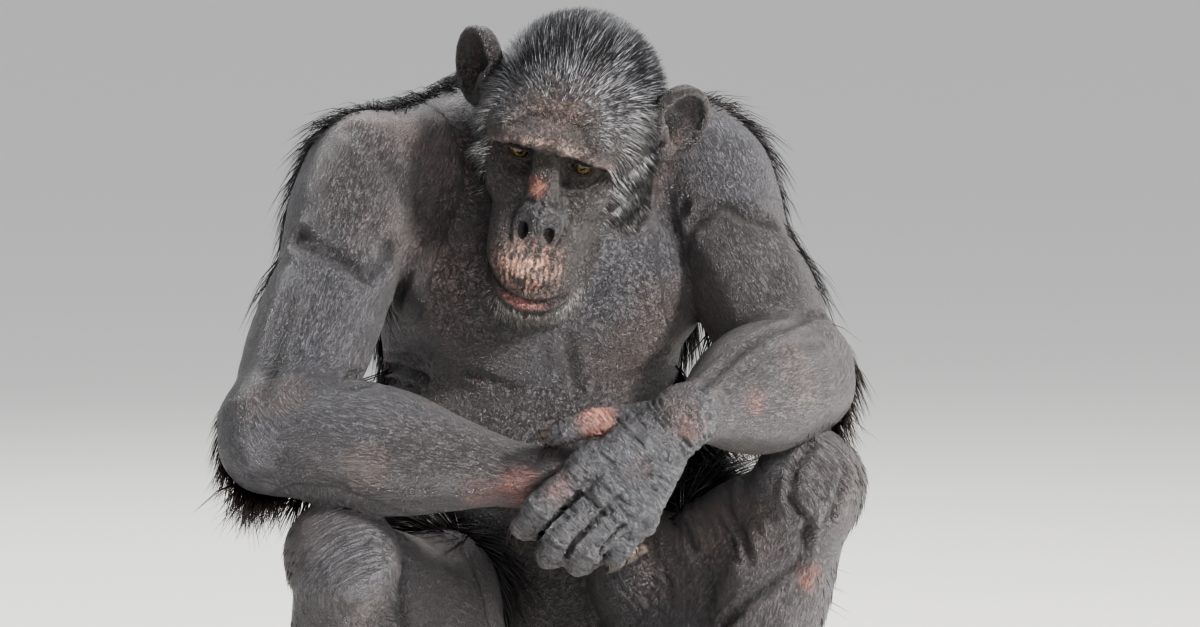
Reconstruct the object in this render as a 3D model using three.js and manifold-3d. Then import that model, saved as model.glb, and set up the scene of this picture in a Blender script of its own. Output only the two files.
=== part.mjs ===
// A life-size sitting chimpanzee: an old male with very little hair on his front and arms, knees drawn up
// and apart, forearms resting on the knees and one hand holding the other wrist.
// Millimetres. +X is the animal's left, -Y is where its chest faces, +Z is up, and the origin lies in the
// middle of the flat that it sits on.
//
// The flesh is described by distance fields: eggs, tapered limbs and muscles blended into one another. Each
// field is turned into a closed surface, thinned to a set number of triangles, and cut into the named parts.
import * as THREE from 'three';
import { mergeVertices } from 'three/addons/utils/BufferGeometryUtils.js';
import Module from 'manifold-3d';

const wasm = await Module();
wasm.setup();

// Driving sizes
const FLOOR = 0;
const SEAM = 0.3; // gap between parts that touch
const BODY_YAW = 15; // degrees that the chest turns towards +X
const HEAD_YAW = -18; // degrees, towards the animal's right
const HEAD_PITCH = 31; // degrees that the face looks down
const HEAD_ROLL = 17; // degrees that the crown leans towards the animal's left
const EYE_R = 11.5;

const radians = THREE.MathUtils.degToRad;

// Joints of the skeleton
const HEAD = [21, -158, 602];
const RIGHT = {
  side: -1,
  groin: 22,
  hip: [-72, -40, 108],
  knee: [-168, -311, 252],
  ankle: [-172, -165, 66],
  toes: [-186, -321, 20],
  shoulder: [-144, -119, 558],
  elbow: [-226, -287, 352],
  wrist: [13, -370, 322],
};
const LEFT = {
  side: 1,
  groin: 52,
  hip: [72, -22, 108],
  knee: [224, -215, 302],
  ankle: [156, -183, 66],
  toes: [176, -339, 20],
  shoulder: [122, -35, 562],
  elbow: [215, -213, 394],
  wrist: [112, -417, 378],
};

// Vectors as plain arrays of three numbers
const plus = (a, b) => [a[0] + b[0], a[1] + b[1], a[2] + b[2]];
const minus = (a, b) => [a[0] - b[0], a[1] - b[1], a[2] - b[2]];
const times = (a, s) => [a[0] * s, a[1] * s, a[2] * s];
const dot = (a, b) => a[0] * b[0] + a[1] * b[1] + a[2] * b[2];
const cross = (a, b) => [
  a[1] * b[2] - a[2] * b[1],
  a[2] * b[0] - a[0] * b[2],
  a[0] * b[1] - a[1] * b[0],
];
const long = (a) => Math.hypot(a[0], a[1], a[2]);
const unit = (a) => times(a, 1 / long(a));
const between = (a, b, t) => plus(times(a, 1 - t), times(b, t));

// Three axes of a frame whose third axis runs from a to b, and whose first lies towards `side`
function frameAlong(a, b, side) {
  const w = unit(minus(b, a));
  const u = unit(minus(side, times(w, dot(side, w))));
  return [u, cross(w, u), w];
}

// Axes turned by three angles in degrees: roll about Y, then pitch about X, then yaw about Z
function turned(yaw, pitch, roll) {
  const m = new THREE.Matrix4().makeRotationZ(radians(yaw));
  m.multiply(new THREE.Matrix4().makeRotationX(radians(pitch)));
  m.multiply(new THREE.Matrix4().makeRotationY(radians(roll)));
  const e = m.elements;
  return [
    [e[0], e[1], e[2]],
    [e[4], e[5], e[6]],
    [e[8], e[9], e[10]],
  ];
}
const STRAIGHT = turned(0, 0, 0);

// A field is { at(x, y, z), lo, hi }: the distance to its surface, negative inside, and the box around it.
const around = (points, reach) => ({
  lo: [0, 1, 2].map((i) => Math.min(...points.map((p) => p[i])) - reach),
  hi: [0, 1, 2].map((i) => Math.max(...points.map((p) => p[i])) + reach),
});

// A limb with round ends that tapers from radius ra at a to rb at b
function limb(a, b, ra, rb) {
  const [dx, dy, dz] = minus(b, a);
  const [ax, ay, az] = a;
  const inverse = 1 / (dx * dx + dy * dy + dz * dz);
  const at = (x, y, z) => {
    const px = x - ax;
    const py = y - ay;
    const pz = z - az;
    const t = Math.min(1, Math.max(0, (px * dx + py * dy + pz * dz) * inverse));
    return Math.hypot(px - t * dx, py - t * dy, pz - t * dz) - ra - (rb - ra) * t;
  };
  return { at, ...around([a, b], Math.max(ra, rb)) };
}

// An egg with three radii, along the axes of a frame
function egg(centre, radii, axes = STRAIGHT) {
  const [[ux, uy, uz], [vx, vy, vz], [wx, wy, wz]] = axes;
  const [cx, cy, cz] = centre;
  const [ra, rb, rc] = radii;
  const at = (x, y, z) => {
    const px = x - cx;
    const py = y - cy;
    const pz = z - cz;
    const a = (px * ux + py * uy + pz * uz) / ra;
    const b = (px * vx + py * vy + pz * vz) / rb;
    const c = (px * wx + py * wy + pz * wz) / rc;
    const near = Math.sqrt(a * a + b * b + c * c);
    const slope = Math.sqrt((a / ra) ** 2 + (b / rb) ** 2 + (c / rc) ** 2);
    return slope < 1e-9 ? -Math.min(ra, rb, rc) : (near * (near - 1)) / slope;
  };
  return { at, ...around([centre], Math.max(ra, rb, rc)) };
}

// A muscle: an egg that lies from a to b, `wide` to each side and `deep` across that
function muscle(a, b, wide, deep, side) {
  return egg(between(a, b, 0.5), [wide, deep, long(minus(b, a)) / 2], frameAlong(a, b, side));
}

function smoothMin(a, b, k) {
  const h = Math.max(k - Math.abs(a - b), 0) / k;
  return Math.min(a, b) - (h * h * k) / 4;
}

// Shapes melted together, with a fillet of about k
function blend(k, ...shapes) {
  const fields = shapes.flat();
  const at = (x, y, z) => {
    let d = fields[0].at(x, y, z);
    for (let i = 1; i < fields.length; i++) d = smoothMin(d, fields[i].at(x, y, z), k);
    return d;
  };
  return { at, ...around(fields.flatMap((f) => [f.lo, f.hi]), k / 4) };
}

// A shape with others carved out of it, the edges rounded by about k
function carve(k, shape, ...cutters) {
  const fields = cutters.flat();
  const at = (x, y, z) => {
    let d = -shape.at(x, y, z);
    for (const f of fields) d = smoothMin(d, f.at(x, y, z), k);
    return -d;
  };
  return { at, lo: shape.lo, hi: shape.hi };
}

// A field built about its own origin, set down at a place with given axes
function placed(shape, origin, axes) {
  const [[ux, uy, uz], [vx, vy, vz], [wx, wy, wz]] = axes;
  const [ox, oy, oz] = origin;
  const at = (x, y, z) => {
    const px = x - ox;
    const py = y - oy;
    const pz = z - oz;
    return shape.at(
      px * ux + py * uy + pz * uz,
      px * vx + py * vy + pz * vz,
      px * wx + py * wy + pz * wz,
    );
  };
  const corners = [shape.lo, shape.hi].flatMap((a) =>
    [shape.lo, shape.hi].flatMap((b) =>
      [shape.lo, shape.hi].map((c) => outOf(origin, axes, [a[0], b[1], c[2]])),
    ),
  );
  return { at, ...around(corners, 0) };
}

// A point given in a frame, in the part's frame
const outOf = (origin, axes, [a, b, c]) =>
  plus(plus(origin, times(axes[0], a)), plus(times(axes[1], b), times(axes[2], c)));

// Torso and neck
const CHEST_AXES = turned(BODY_YAW, 0, 0);
function torsoField() {
  const chest = (x, y, z) => outOf([-6, -77, 0], CHEST_AXES, [x, y, z]);
  const pair = (make) => [-1, 1].map(make);
  return blend(
    46,
    egg([0, 0, 104], [118, 98, 104]),
    egg([-4, -16, 214], [122, 110, 112], CHEST_AXES),
    egg(chest(0, 30, 330), [134, 116, 122], CHEST_AXES),
    egg(chest(0, 16, 452), [138, 108, 112], CHEST_AXES),
    egg(chest(4, 64, 546), [130, 64, 84], CHEST_AXES),
    pair((s) => egg([s * 58, 4, 64], [64, 64, 67])),
    pair((s) => egg(chest(s * 60, -62, 466), [72, 44, 56], turned(BODY_YAW, -14, 0))),
    limb(chest(8, 44, 578), RIGHT.shoulder, 66, 54),
    limb(chest(8, 44, 576), LEFT.shoulder, 60, 52),
    limb(chest(14, 38, 560), [HEAD[0] + 2, HEAD[1] + 34, HEAD[2] - 2], 76, 62),
    limb(chest(6, -36, 520), [HEAD[0] - 4, HEAD[1] - 8, HEAD[2] - 52], 60, 44),
  );
}

// Arms
function armField(arm) {
  const { side, shoulder, elbow, wrist } = arm;
  const outward = [side, 0, 0];
  const forward = [0, -1, 0];
  const lower = unit(minus(wrist, elbow));
  const upperAxes = frameAlong(shoulder, elbow, outward);
  const along = (t, a, b) => outOf(between(shoulder, elbow, t), upperAxes, [a, b, 0]);
  const upper = [
    muscle(plus(along(0, 4, 0), [0, 0, 46]), along(0.5, 0, 0), 52, 54, outward),
    limb(between(shoulder, elbow, 0.2), between(shoulder, elbow, 0.9), 46, 42),
    muscle(along(0.22, 0, 18 * side), along(1, 0, 12 * side), 42, 36, outward),
    muscle(along(0.12, 4, -20 * side), along(1, 2, -12 * side), 48, 42, outward),
  ];
  const fore = [
    limb(elbow, wrist, 42, 25),
    muscle(plus(elbow, times(lower, -34)), between(elbow, wrist, 0.78), 50, 48, forward),
    muscle(plus(elbow, [0, -4, 8]), between(elbow, wrist, 0.62), 44, 50, forward),
    limb(plus(elbow, times(unit(minus(elbow, shoulder)), 16)), elbow, 30, 40),
  ];
  return blend(22, upper, fore);
}

// A finger through its knuckles, thick at each joint
function finger(points, radii) {
  return blend(5, points.slice(1).map((p, i) => limb(points[i], p, radii[i], radii[i + 1])));
}

// The left hand holds the right wrist from the front: fingers over it and curling under, thumb along its top
function leftHand() {
  const { wrist } = LEFT;
  const at = (x, y, z) => plus(wrist, [x, y, z]);
  const knuckles = [at(-76, -6, -38), at(-56, -9, -53), at(-39, -6, -70), at(-32, 2, -84)];
  const bends = [at(-114, 0, -73), at(-98, 0, -97), at(-76, 0, -106), at(-48, 6, -103)];
  const ends = [at(-126, 20, -90), at(-106, 20, -113), at(-82, 20, -120), at(-54, 24, -116)];
  const tips = [at(-104, 44, -92), at(-84, 46, -112), at(-62, 46, -114), at(-38, 44, -112)];
  const thick = [12.5, 13, 12, 10];
  const fingers = knuckles.map((k, i) =>
    finger([k, bends[i], ends[i], tips[i]], [thick[i] + 1, thick[i], thick[i] - 1.5, thick[i] - 3]),
  );
  const palm = knuckles.map((k, i) => limb(at(6 - i * 3, 4, 2 - i * 3), k, 23 - i, 14.5 - i * 0.6));
  const thumb = finger(
    [at(-14, 6, -2), at(-50, 18, -4), at(-72, 14, -5), at(-92, 14, -12), at(-104, 18, -17)],
    [17, 12, 11, 9.5, 8],
  );
  return blend(7, palm, ...fingers, thumb);
}

// The right hand hangs loosely behind the left one
function rightHand() {
  const { wrist } = RIGHT;
  const at = (x, y, z) => plus(wrist, [x, y, z]);
  const knuckles = [at(58, 8, 4), at(66, 12, -14), at(66, 16, -32), at(58, 18, -48)];
  const bends = [at(78, 36, -14), at(82, 42, -34), at(78, 44, -52), at(68, 42, -64)];
  const tips = [at(56, 54, -32), at(58, 58, -50), at(54, 58, -66), at(46, 52, -74)];
  const thick = [11.5, 12, 11.5, 10];
  const taper = (t) => [t + 1, t, t - 2];
  const fingers = knuckles.map((k, i) => finger([k, bends[i], tips[i]], taper(thick[i])));
  const palm = knuckles.map((k, i) => limb(at(2, 2, 2 - i * 5), k, 21 - i, 14));
  const thumb = finger([at(8, 10, 10), at(30, 34, 14), at(44, 52, 6), at(50, 64, -6)], [15, 12, 10, 8]);
  return blend(7, palm, ...fingers, thumb);
}

// Legs
function legField(leg) {
  const { side, hip, knee, ankle, groin } = leg;
  const outward = [side, 0, 0];
  const inward = [-side, 0, 0];
  const thigh = (t, within) => plus(between(hip, knee, t), times(inward, within));
  const shinAxes = frameAlong(knee, ankle, outward);
  const calf = outOf(between(knee, ankle, 0.02), shinAxes, [-4, 12 * side, 0]);
  return blend(
    16,
    limb(hip, knee, 66, 42),
    muscle(thigh(-0.1, 0), thigh(0.98, 0), 74, 66, outward),
    muscle(thigh(0.1, 18), thigh(0.95, 14), 54, 52, outward),
    egg(plus(thigh(0.42, groin), [0, -10, 34]), [52, 60, 60]),
    egg(plus(knee, [0, -6, 4]), [44, 44, 46]),
    limb(knee, ankle, 40, 27),
    muscle(calf, between(knee, ankle, 0.76), 46, 44, outward),
    limb(ankle, plus(ankle, [0, 16, -22]), 28, 30),
  );
}

function footField(leg) {
  const { side, ankle, toes } = leg;
  const ahead = unit([toes[0] - ankle[0], toes[1] - ankle[1], 0]);
  const across = [-ahead[1] * -side, ahead[0] * -side, 0]; // away from the other foot
  const heel = [ankle[0], ankle[1], 0];
  const at = (f, s, z) => plus(plus(heel, times(ahead, f)), plus(times(across, s), [0, 0, z]));
  const outers = [1, 2, 3, 4].map((i) => {
    const spread = -14 + i * 12.5;
    const reach = 152 - i * 6;
    const joints = [at(70, -10 + i * 9, 26), at(reach - 34, spread, 24), at(reach - 12, spread + 2, 20)];
    return finger([...joints, at(reach, spread + 3, 11)], [17, 12.5, 11, 9.5]);
  });
  const bigJoints = [at(26, -22, 26), at(62, -46, 22), at(88, -58, 18), at(104, -60, 13)];
  const bigToe = finger(bigJoints, [22, 17, 14.5, 12]);
  return blend(
    9,
    limb(at(-34, 2, 24), at(0, 0, 44), 27, 30),
    limb(at(0, 0, 46), at(74, 6, 26), 30, 22),
    limb(at(-30, 6, 22), at(72, 22, 20), 24, 18),
    outers,
    bigToe,
  );
}

// The head, about a point midway between the ears: +x its left, -y out of its face, +z its crown
const EYE = [28, -64, 18];
const MOUTH = [11, -106, -77]; // its middle, where the curve of the lips is centred
const HEAD_AXES = turned(HEAD_YAW, HEAD_PITCH, HEAD_ROLL);
const onHead = (p) => outOf(HEAD, HEAD_AXES, p);

// A chain of limbs through a row of points
function chain(points, radii) {
  const fields = points.slice(1).map((p, i) => limb(points[i], p, radii[i], radii[i + 1]));
  const at = (x, y, z) => {
    let d = Infinity;
    for (const f of fields) d = Math.min(d, f.at(x, y, z));
    return d;
  };
  return { at, ...around(fields.flatMap((f) => [f.lo, f.hi]), 0) };
}

// A line of the mouth, `out` of the lips and `up` from the gap between them
function mouthLine(out, up, end, middle) {
  const corner = 1.25; // radians from the middle of the mouth to its corner
  const steps = 12;
  const points = [];
  for (let i = 0; i <= steps; i++) {
    const t = (2 * i) / steps - 1;
    const [x, y, z] = MOUTH;
    const across = (36 + out) * Math.sin(t * corner);
    const ahead = (40 + out) * Math.cos(t * corner);
    points.push([x + across, y - ahead + 3 * t * t, z + up + 5 * t * t]);
  }
  return chain(points, points.map((p, i) => (i % steps ? middle : end)));
}

function headField() {
  const pair = (make) => [-1, 1].flatMap(make);
  const skull = blend(
    20,
    egg([0, 8, 26], [67, 78, 66]),
    egg([0, 46, -6], [50, 42, 40]),
    pair((s) => egg([s * 48, -10, -20], [24, 40, 46])),
    limb([-30, -54, 42], [30, -54, 42], 21, 21),
    egg([0, -58, -14], [48, 44, 42]),
    egg([3, -90, -46], [41, 50, 36]),
    egg([8, -100, -92], [33, 36, 22]),
    pair((s) => limb([s * 50, -24, 30], [s * 47, -50, 34], 15, 13)),
    pair((s) => limb([s * 46, 0, -52], [s * 17 + 7, -80, -94], 21, 19)),
    limb([0, 6, -46], [0, -44, -74], 40, 30),
  );
  const browed = blend(
    10,
    skull,
    pair((s) => limb([s * 60, -20, 4], [s * 37, -74, -14], 12, 14)),
    pair((s) => limb([s * 54, -50, 4], [s * 51, -58, 30], 8, 9)),
    pair((s) => limb([s * 51, -58, 30], [s * 38, -74, 43], 9, 9.5)),
    pair((s) => limb([s * 38, -74, 43], [s * 13, -82, 46], 9.5, 9)),
    limb([-13, -82, 46], [13, -82, 46], 9, 9),
  );
  const sockets = carve(10, browed, pair((s) => egg([s * 29, -92, 18], [21, 22, 16])));
  const lid = [EYE_R + 3, EYE_R + 2.5, EYE_R + 2.5];
  const lids = blend(4, sockets, pair((s) => egg([s * EYE[0], EYE[1], EYE[2]], lid)));
  const nosed = blend(
    9,
    lids,
    limb([0, -82, 24], [1, -99, -2], 12, 13),
    egg([2, -109, -17], [19, 14, 16]),
    pair((s) => egg([s * 15 + 2, -112, -24], [9, 9, 8])),
    egg([5, -114, -54], [37, 34, 26]),
    egg([10, -112, -90], [32, 32, 16]),
    egg([11, -103, -104], [29, 28, 17]),
  );
  return carve(
    3,
    blend(7, nosed, mouthLine(-3, 5, 2, 4.5), mouthLine(-3, -6, 2, 5)),
    pair((s) => egg([s * 8.5 + 2, -126, -27], [5.5, 8, 5])),
    pair((s) => egg([s * EYE[0], EYE[1] - EYE_R, EYE[2] - 1], [10.5, 9, 5])),
    mouthLine(1, 0, 1, 2),
  );
}

// An ear: +x is its height up the head, +y away from the head, +z the way its cup faces
function earField() {
  const steps = 12;
  const rim = [];
  for (let i = 0; i <= steps; i++) {
    const t = radians(-116 + (i * 262) / steps);
    rim.push([33 * Math.sin(t), 23 * Math.cos(t) + 2, 5 + 3 * Math.cos(t)]);
  }
  return blend(
    3,
    carve(3, egg([0, 0, -2], [35, 27, 12]), egg([2, 0, 12], [29, 21, 16]), egg([-4, -6, 4], [13, 11, 11])),
    chain(rim, rim.map(() => 4)),
    egg([-27, -6, 4], [11, 10, 5]),
    egg([-6, -22, 4], [16, 8, 9]),
    limb([-14, -10, 7], [-2, -16, 8], 4, 4),
  );
}

// Closed surfaces from fields: each cube of a grid is split into six tetrahedra, so that no hole can open
const CUBE = [[0, 0, 0], [1, 0, 0], [1, 1, 0], [0, 1, 0], [0, 0, 1], [1, 0, 1], [1, 1, 1], [0, 1, 1]];
const TETRAHEDRA = [[0, 5, 1, 6], [0, 1, 2, 6], [0, 2, 3, 6], [0, 3, 7, 6], [0, 7, 4, 6], [0, 4, 5, 6]];
const BLOCK = 4; // cubes along the side of a block that is skipped where no surface can be near

function surfaceOf(field, step) {
  const lo = field.lo.map((v) => v - 2 * step);
  const count = field.hi.map((v, i) => Math.ceil((v + 2 * step - lo[i]) / step / BLOCK) * BLOCK + 1);
  const [nx, ny] = count;
  const index = (i, j, k) => i + nx * (j + ny * k);
  const place = (n) => {
    const k = Math.floor(n / (nx * ny));
    const j = Math.floor((n - k * nx * ny) / nx);
    return [lo[0] + (n - k * nx * ny - j * nx) * step, lo[1] + j * step, lo[2] + k * step];
  };
  const values = new Float64Array(nx * ny * count[2]).fill(NaN);
  const value = (n) => {
    if (Number.isNaN(values[n])) values[n] = field.at(...place(n)) || 1e-9;
    return values[n];
  };
  const points = [];
  const found = new Map();
  const crossing = (a, b) => {
    const key = Math.min(a, b) * values.length + Math.max(a, b);
    if (!found.has(key)) {
      const t = Math.min(0.98, Math.max(0.02, value(a) / (value(a) - value(b))));
      found.set(key, points.push(between(place(a), place(b), t)) - 1);
    }
    return found.get(key);
  };
  const faces = [];
  const cube = (i, j, k) => {
    const corner = CUBE.map(([a, b, c]) => index(i + a, j + b, k + c));
    const inside = corner.map((n) => value(n) < 0);
    if (inside.every((v) => v) || !inside.some((v) => v)) return;
    for (const tet of TETRAHEDRA) {
      const within = tet.filter((c) => inside[c]);
      const without = tet.filter((c) => !inside[c]);
      if (!within.length || !without.length) continue;
      const edge = (a, b) => crossing(corner[a], corner[b]);
      const [w, v] = within;
      const [o, p] = without;
      let ring = [edge(w, o), edge(w, p), edge(v, p), edge(v, o)];
      if (within.length === 1) ring = without.map((n) => edge(w, n));
      if (within.length === 3) ring = within.map((n) => edge(n, o));
      const [a, b, c] = ring.map((n) => points[n]);
      const outward = minus(place(corner[o]), place(corner[w]));
      if (dot(cross(minus(b, a), minus(c, a)), outward) < 0) ring.reverse();
      faces.push([ring[0], ring[1], ring[2]]);
      if (ring.length === 4) faces.push([ring[0], ring[2], ring[3]]);
    }
  };
  const reach = step * BLOCK * 2;
  for (let k = 0; k + 1 < count[2]; k += BLOCK)
    for (let j = 0; j + 1 < ny; j += BLOCK)
      for (let i = 0; i + 1 < nx; i += BLOCK) {
        const middle = place(index(i, j, k)).map((v) => v + (step * BLOCK) / 2);
        if (Math.abs(field.at(...middle)) > reach) continue;
        for (let c = 0; c < BLOCK ** 3; c++)
          cube(i + (c % BLOCK), j + (Math.floor(c / BLOCK) % BLOCK), k + Math.floor(c / BLOCK ** 2));
      }
  return { points, faces };
}

// A heap of [cost, ...] rows, cheapest first
class Heap {
  rows = [];
  push(row) {
    const { rows } = this;
    let i = rows.push(row) - 1;
    while (i > 0) {
      const up = (i - 1) >> 1;
      if (rows[up][0] <= rows[i][0]) break;
      [rows[up], rows[i]] = [rows[i], rows[up]];
      i = up;
    }
  }
  pop() {
    const { rows } = this;
    const top = rows[0];
    const last = rows.pop();
    if (!rows.length) return top;
    rows[0] = last;
    for (let i = 0; ; ) {
      let least = i;
      for (const c of [2 * i + 1, 2 * i + 2]) if (c < rows.length && rows[c][0] < rows[least][0]) least = c;
      if (least === i) return top;
      [rows[least], rows[i]] = [rows[i], rows[least]];
      i = least;
    }
  }
}

// Thins a closed surface to about `target` faces, always taking out the edge whose loss moves the skin least
const STEADY = 1e-5; // how far from flat or straight a place is where its best point is well found
const SLIVER = 0.4; // twice the area of a face so small that it may be turned over
function thinned({ points, faces }, target) {
  const quadric = points.map(() => new Float64Array(10));
  const facesAt = points.map(() => new Set());
  const planeOf = (f) => {
    const [a, b, c] = f.map((n) => points[n]);
    const n = cross(minus(b, a), minus(c, a));
    return [n, long(n)];
  };
  faces.forEach((f) => {
    const [n, twice] = planeOf(f);
    if (twice < 1e-12) return;
    const [a, b, c] = times(n, 1 / twice);
    const d = -dot([a, b, c], points[f[0]]);
    const q = [a * a, a * b, a * c, a * d, b * b, b * c, b * d, c * c, c * d, d * d];
    for (const v of f) q.forEach((term, k) => (quadric[v][k] += term * twice));
  });
  faces.forEach((f, i) => f.forEach((v) => facesAt[v].add(i)));
  const cost = (q, [x, y, z]) =>
    q[0] * x * x + 2 * q[1] * x * y + 2 * q[2] * x * z + 2 * q[3] * x + q[4] * y * y +
    2 * q[5] * y * z + 2 * q[6] * y + q[7] * z * z + 2 * q[8] * z + q[9];
  const best = (a, b) => {
    const q = quadric[a].map((v, k) => v + quadric[b][k]);
    const tries = [points[a], points[b], between(points[a], points[b], 0.5)];
    const columns = [[q[0], q[1], q[2]], [q[1], q[4], q[5]], [q[2], q[5], q[7]]];
    const right = [-q[3], -q[6], -q[8]];
    const volume = ([a, b, c]) => dot(a, cross(b, c));
    const whole = volume(columns);
    if (Math.abs(whole) > STEADY * (q[0] + q[4] + q[7]) ** 3)
      tries.push([0, 1, 2].map((k) => volume(columns.map((c, i) => (i === k ? right : c))) / whole));
    const reach = long(minus(points[a], points[b]));
    let least = null;
    for (const p of tries) {
      if (long(minus(p, tries[2])) > reach) continue;
      const c = Math.max(0, cost(q, p)) + 1e-3 * reach ** 3;
      if (!least || c < least[0]) least = [c, p, q];
    }
    return least;
  };
  const age = new Int32Array(points.length);
  const heap = new Heap();
  const offer = (a, b) => heap.push([best(a, b)[0], a, b, age[a], age[b]]);
  const neighbours = (v) => {
    const out = new Set();
    for (const i of facesAt[v]) for (const w of faces[i]) if (w !== v) out.add(w);
    return out;
  };
  const turns = (v, gone, p) => {
    for (const i of facesAt[v]) {
      const f = faces[i];
      if (f.includes(gone)) continue;
      const [before, size] = planeOf(f);
      const moved = f.map((n) => (n === v ? p : points[n]));
      const after = cross(minus(moved[1], moved[0]), minus(moved[2], moved[0]));
      if (long(after) < 1e-3) return true;
      if (size > SLIVER && dot(before, after) < 0.3 * size * long(after)) return true;
    }
    return false;
  };
  const collapse = (a, b) => {
    const mine = neighbours(a);
    if (!mine.has(b)) return;
    let shared = 0;
    for (const v of neighbours(b)) if (mine.has(v)) shared++;
    const [, p, q] = best(a, b);
    if (shared !== 2 || turns(a, b, p) || turns(b, a, p)) return;
    for (const i of [...facesAt[b]]) {
      const f = faces[i];
      if (f.includes(a)) {
        for (const v of f) facesAt[v].delete(i);
        faces[i] = null;
        left--;
      } else {
        f[f.indexOf(b)] = a;
        facesAt[a].add(i);
      }
    }
    facesAt[b].clear();
    points[a] = p;
    quadric[a] = q;
    age[a]++;
    age[b]++;
    for (const v of neighbours(a)) offer(a, v);
  };
  let left = faces.length;
  for (let limit = 0.1; left > target && limit < 1e5; limit *= 3) {
    heap.rows.length = 0;
    for (const f of faces)
      for (let i = 0; f && i < 3; i++) if (f[i] < f[(i + 1) % 3]) offer(f[i], f[(i + 1) % 3]);
    while (left > target && heap.rows.length && heap.rows[0][0] < limit) {
      const [, a, b, ageA, ageB] = heap.pop();
      if (age[a] === ageA && age[b] === ageB && facesAt[a].size && facesAt[b].size) collapse(a, b);
    }
  }
  return { points, faces: faces.filter((f) => f) };
}

// Solids
function solidFrom({ points, faces }) {
  const numbers = new Map();
  const kept = [];
  const triVerts = new Uint32Array(
    faces.flatMap((f) =>
      f.map((v) => {
        if (!numbers.has(v)) numbers.set(v, kept.push(points[v]) - 1);
        return numbers.get(v);
      }),
    ),
  );
  const vertProperties = new Float32Array(kept.flat());
  return new wasm.Manifold(new wasm.Mesh({ numProp: 3, vertProperties, triVerts }));
}

function solidOfGeometry(geometry) {
  const g = geometry.clone();
  g.deleteAttribute('normal');
  g.deleteAttribute('uv');
  const merged = mergeVertices(g, 1e-4);
  return new wasm.Manifold(
    new wasm.Mesh({
      numProp: 3,
      vertProperties: new Float32Array(merged.attributes.position.array),
      triVerts: new Uint32Array(merged.index.array),
    }),
  );
}

const fleshOf = (field, step, triangles) => solidFrom(thinned(surfaceOf(field, step), triangles));

const largest = (solid) =>
  solid.decompose().reduce((best, s) => (Math.abs(s.volume()) > Math.abs(best.volume()) ? s : best));

// A solid with every corner moved out along its normal, to cut a neighbour clear of it
function swollen(solid, by) {
  const m = solid.getMesh();
  const geometry = geometryOf(solid);
  geometry.computeVertexNormals();
  const normal = geometry.attributes.normal;
  const out = new Float32Array(m.numVert * 3);
  for (let i = 0; i < out.length; i++) {
    const v = Math.floor(i / 3);
    out[i] = m.vertProperties[m.numProp * v + (i - 3 * v)] + by * normal.array[i];
  }
  return new wasm.Manifold(new wasm.Mesh({ numProp: 3, vertProperties: out, triVerts: m.triVerts }));
}

function geometryOf(solid) {
  const m = solid.getMesh();
  const corners = new Float32Array(m.numVert * 3);
  for (let i = 0; i < m.numVert; i++)
    corners.set(m.vertProperties.subarray(m.numProp * i, m.numProp * i + 3), 3 * i);
  return new THREE.BufferGeometry()
    .setAttribute('position', new THREE.BufferAttribute(corners, 3))
    .setIndex(new THREE.BufferAttribute(m.triVerts, 1));
}

// A thin square plate across a point, to part a limb in two
function blade(centre, normal, size) {
  const g = new THREE.BoxGeometry(size, size, SEAM);
  const upright = new THREE.Vector3(0, 0, 1);
  g.applyQuaternion(new THREE.Quaternion().setFromUnitVectors(upright, new THREE.Vector3(...unit(normal))));
  g.translate(...centre);
  return solidOfGeometry(g);
}

// The two sides of a solid parted at a plate, the one nearer to `first` first
function parted(solid, centre, normal, size, first) {
  const pieces = solid.subtract(blade(centre, normal, size)).decompose();
  const [a, b] = pieces.sort((p, q) => q.volume() - p.volume());
  const box = (s) => s.boundingBox();
  const middle = (s) => between([...box(s).min], [...box(s).max], 0.5);
  const near = (s) => long(minus(middle(s), first));
  return near(a) < near(b) ? [a, b] : [b, a];
}

// The plate that halves the angle of a bent joint
function bend(before, joint, after) {
  const a = unit(minus(before, joint));
  const b = unit(minus(after, joint));
  return cross(unit(cross(a, b)), unit(plus(a, b)));
}

const ground = (() => {
  const g = new THREE.BoxGeometry(2000, 2000, 400);
  g.translate(0, 0, FLOOR - 200);
  return solidOfGeometry(g);
})();

// Hair: flat tapered locks that follow the skin, each drawn from a fixed series of random numbers
let draw = 20;
function random() {
  draw = (draw * 16807) % 2147483647;
  return draw / 2147483647;
}
const vary = (amount) => 1 + amount * (2 * random() - 1);

function wayOut(field, [x, y, z]) {
  const h = 0.5;
  return unit([
    field.at(x + h, y, z) - field.at(x - h, y, z),
    field.at(x, y + h, z) - field.at(x, y - h, z),
    field.at(x, y, z + h) - field.at(x, y, z - h),
  ]);
}

// The point of the surface that a walk from `from` reaches, where one is met
function meets(field, from, way) {
  let p = from;
  for (let i = 0; i < 80; i++) {
    const d = field.at(...p);
    if (d < 0.2) return p;
    p = plus(p, times(way, 0.8 * d));
  }
  return null;
}

function settled(field, p) {
  let q = p;
  for (let i = 0; i < 3; i++) q = minus(q, times(wayOut(field, q), field.at(...q)));
  return q;
}

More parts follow.
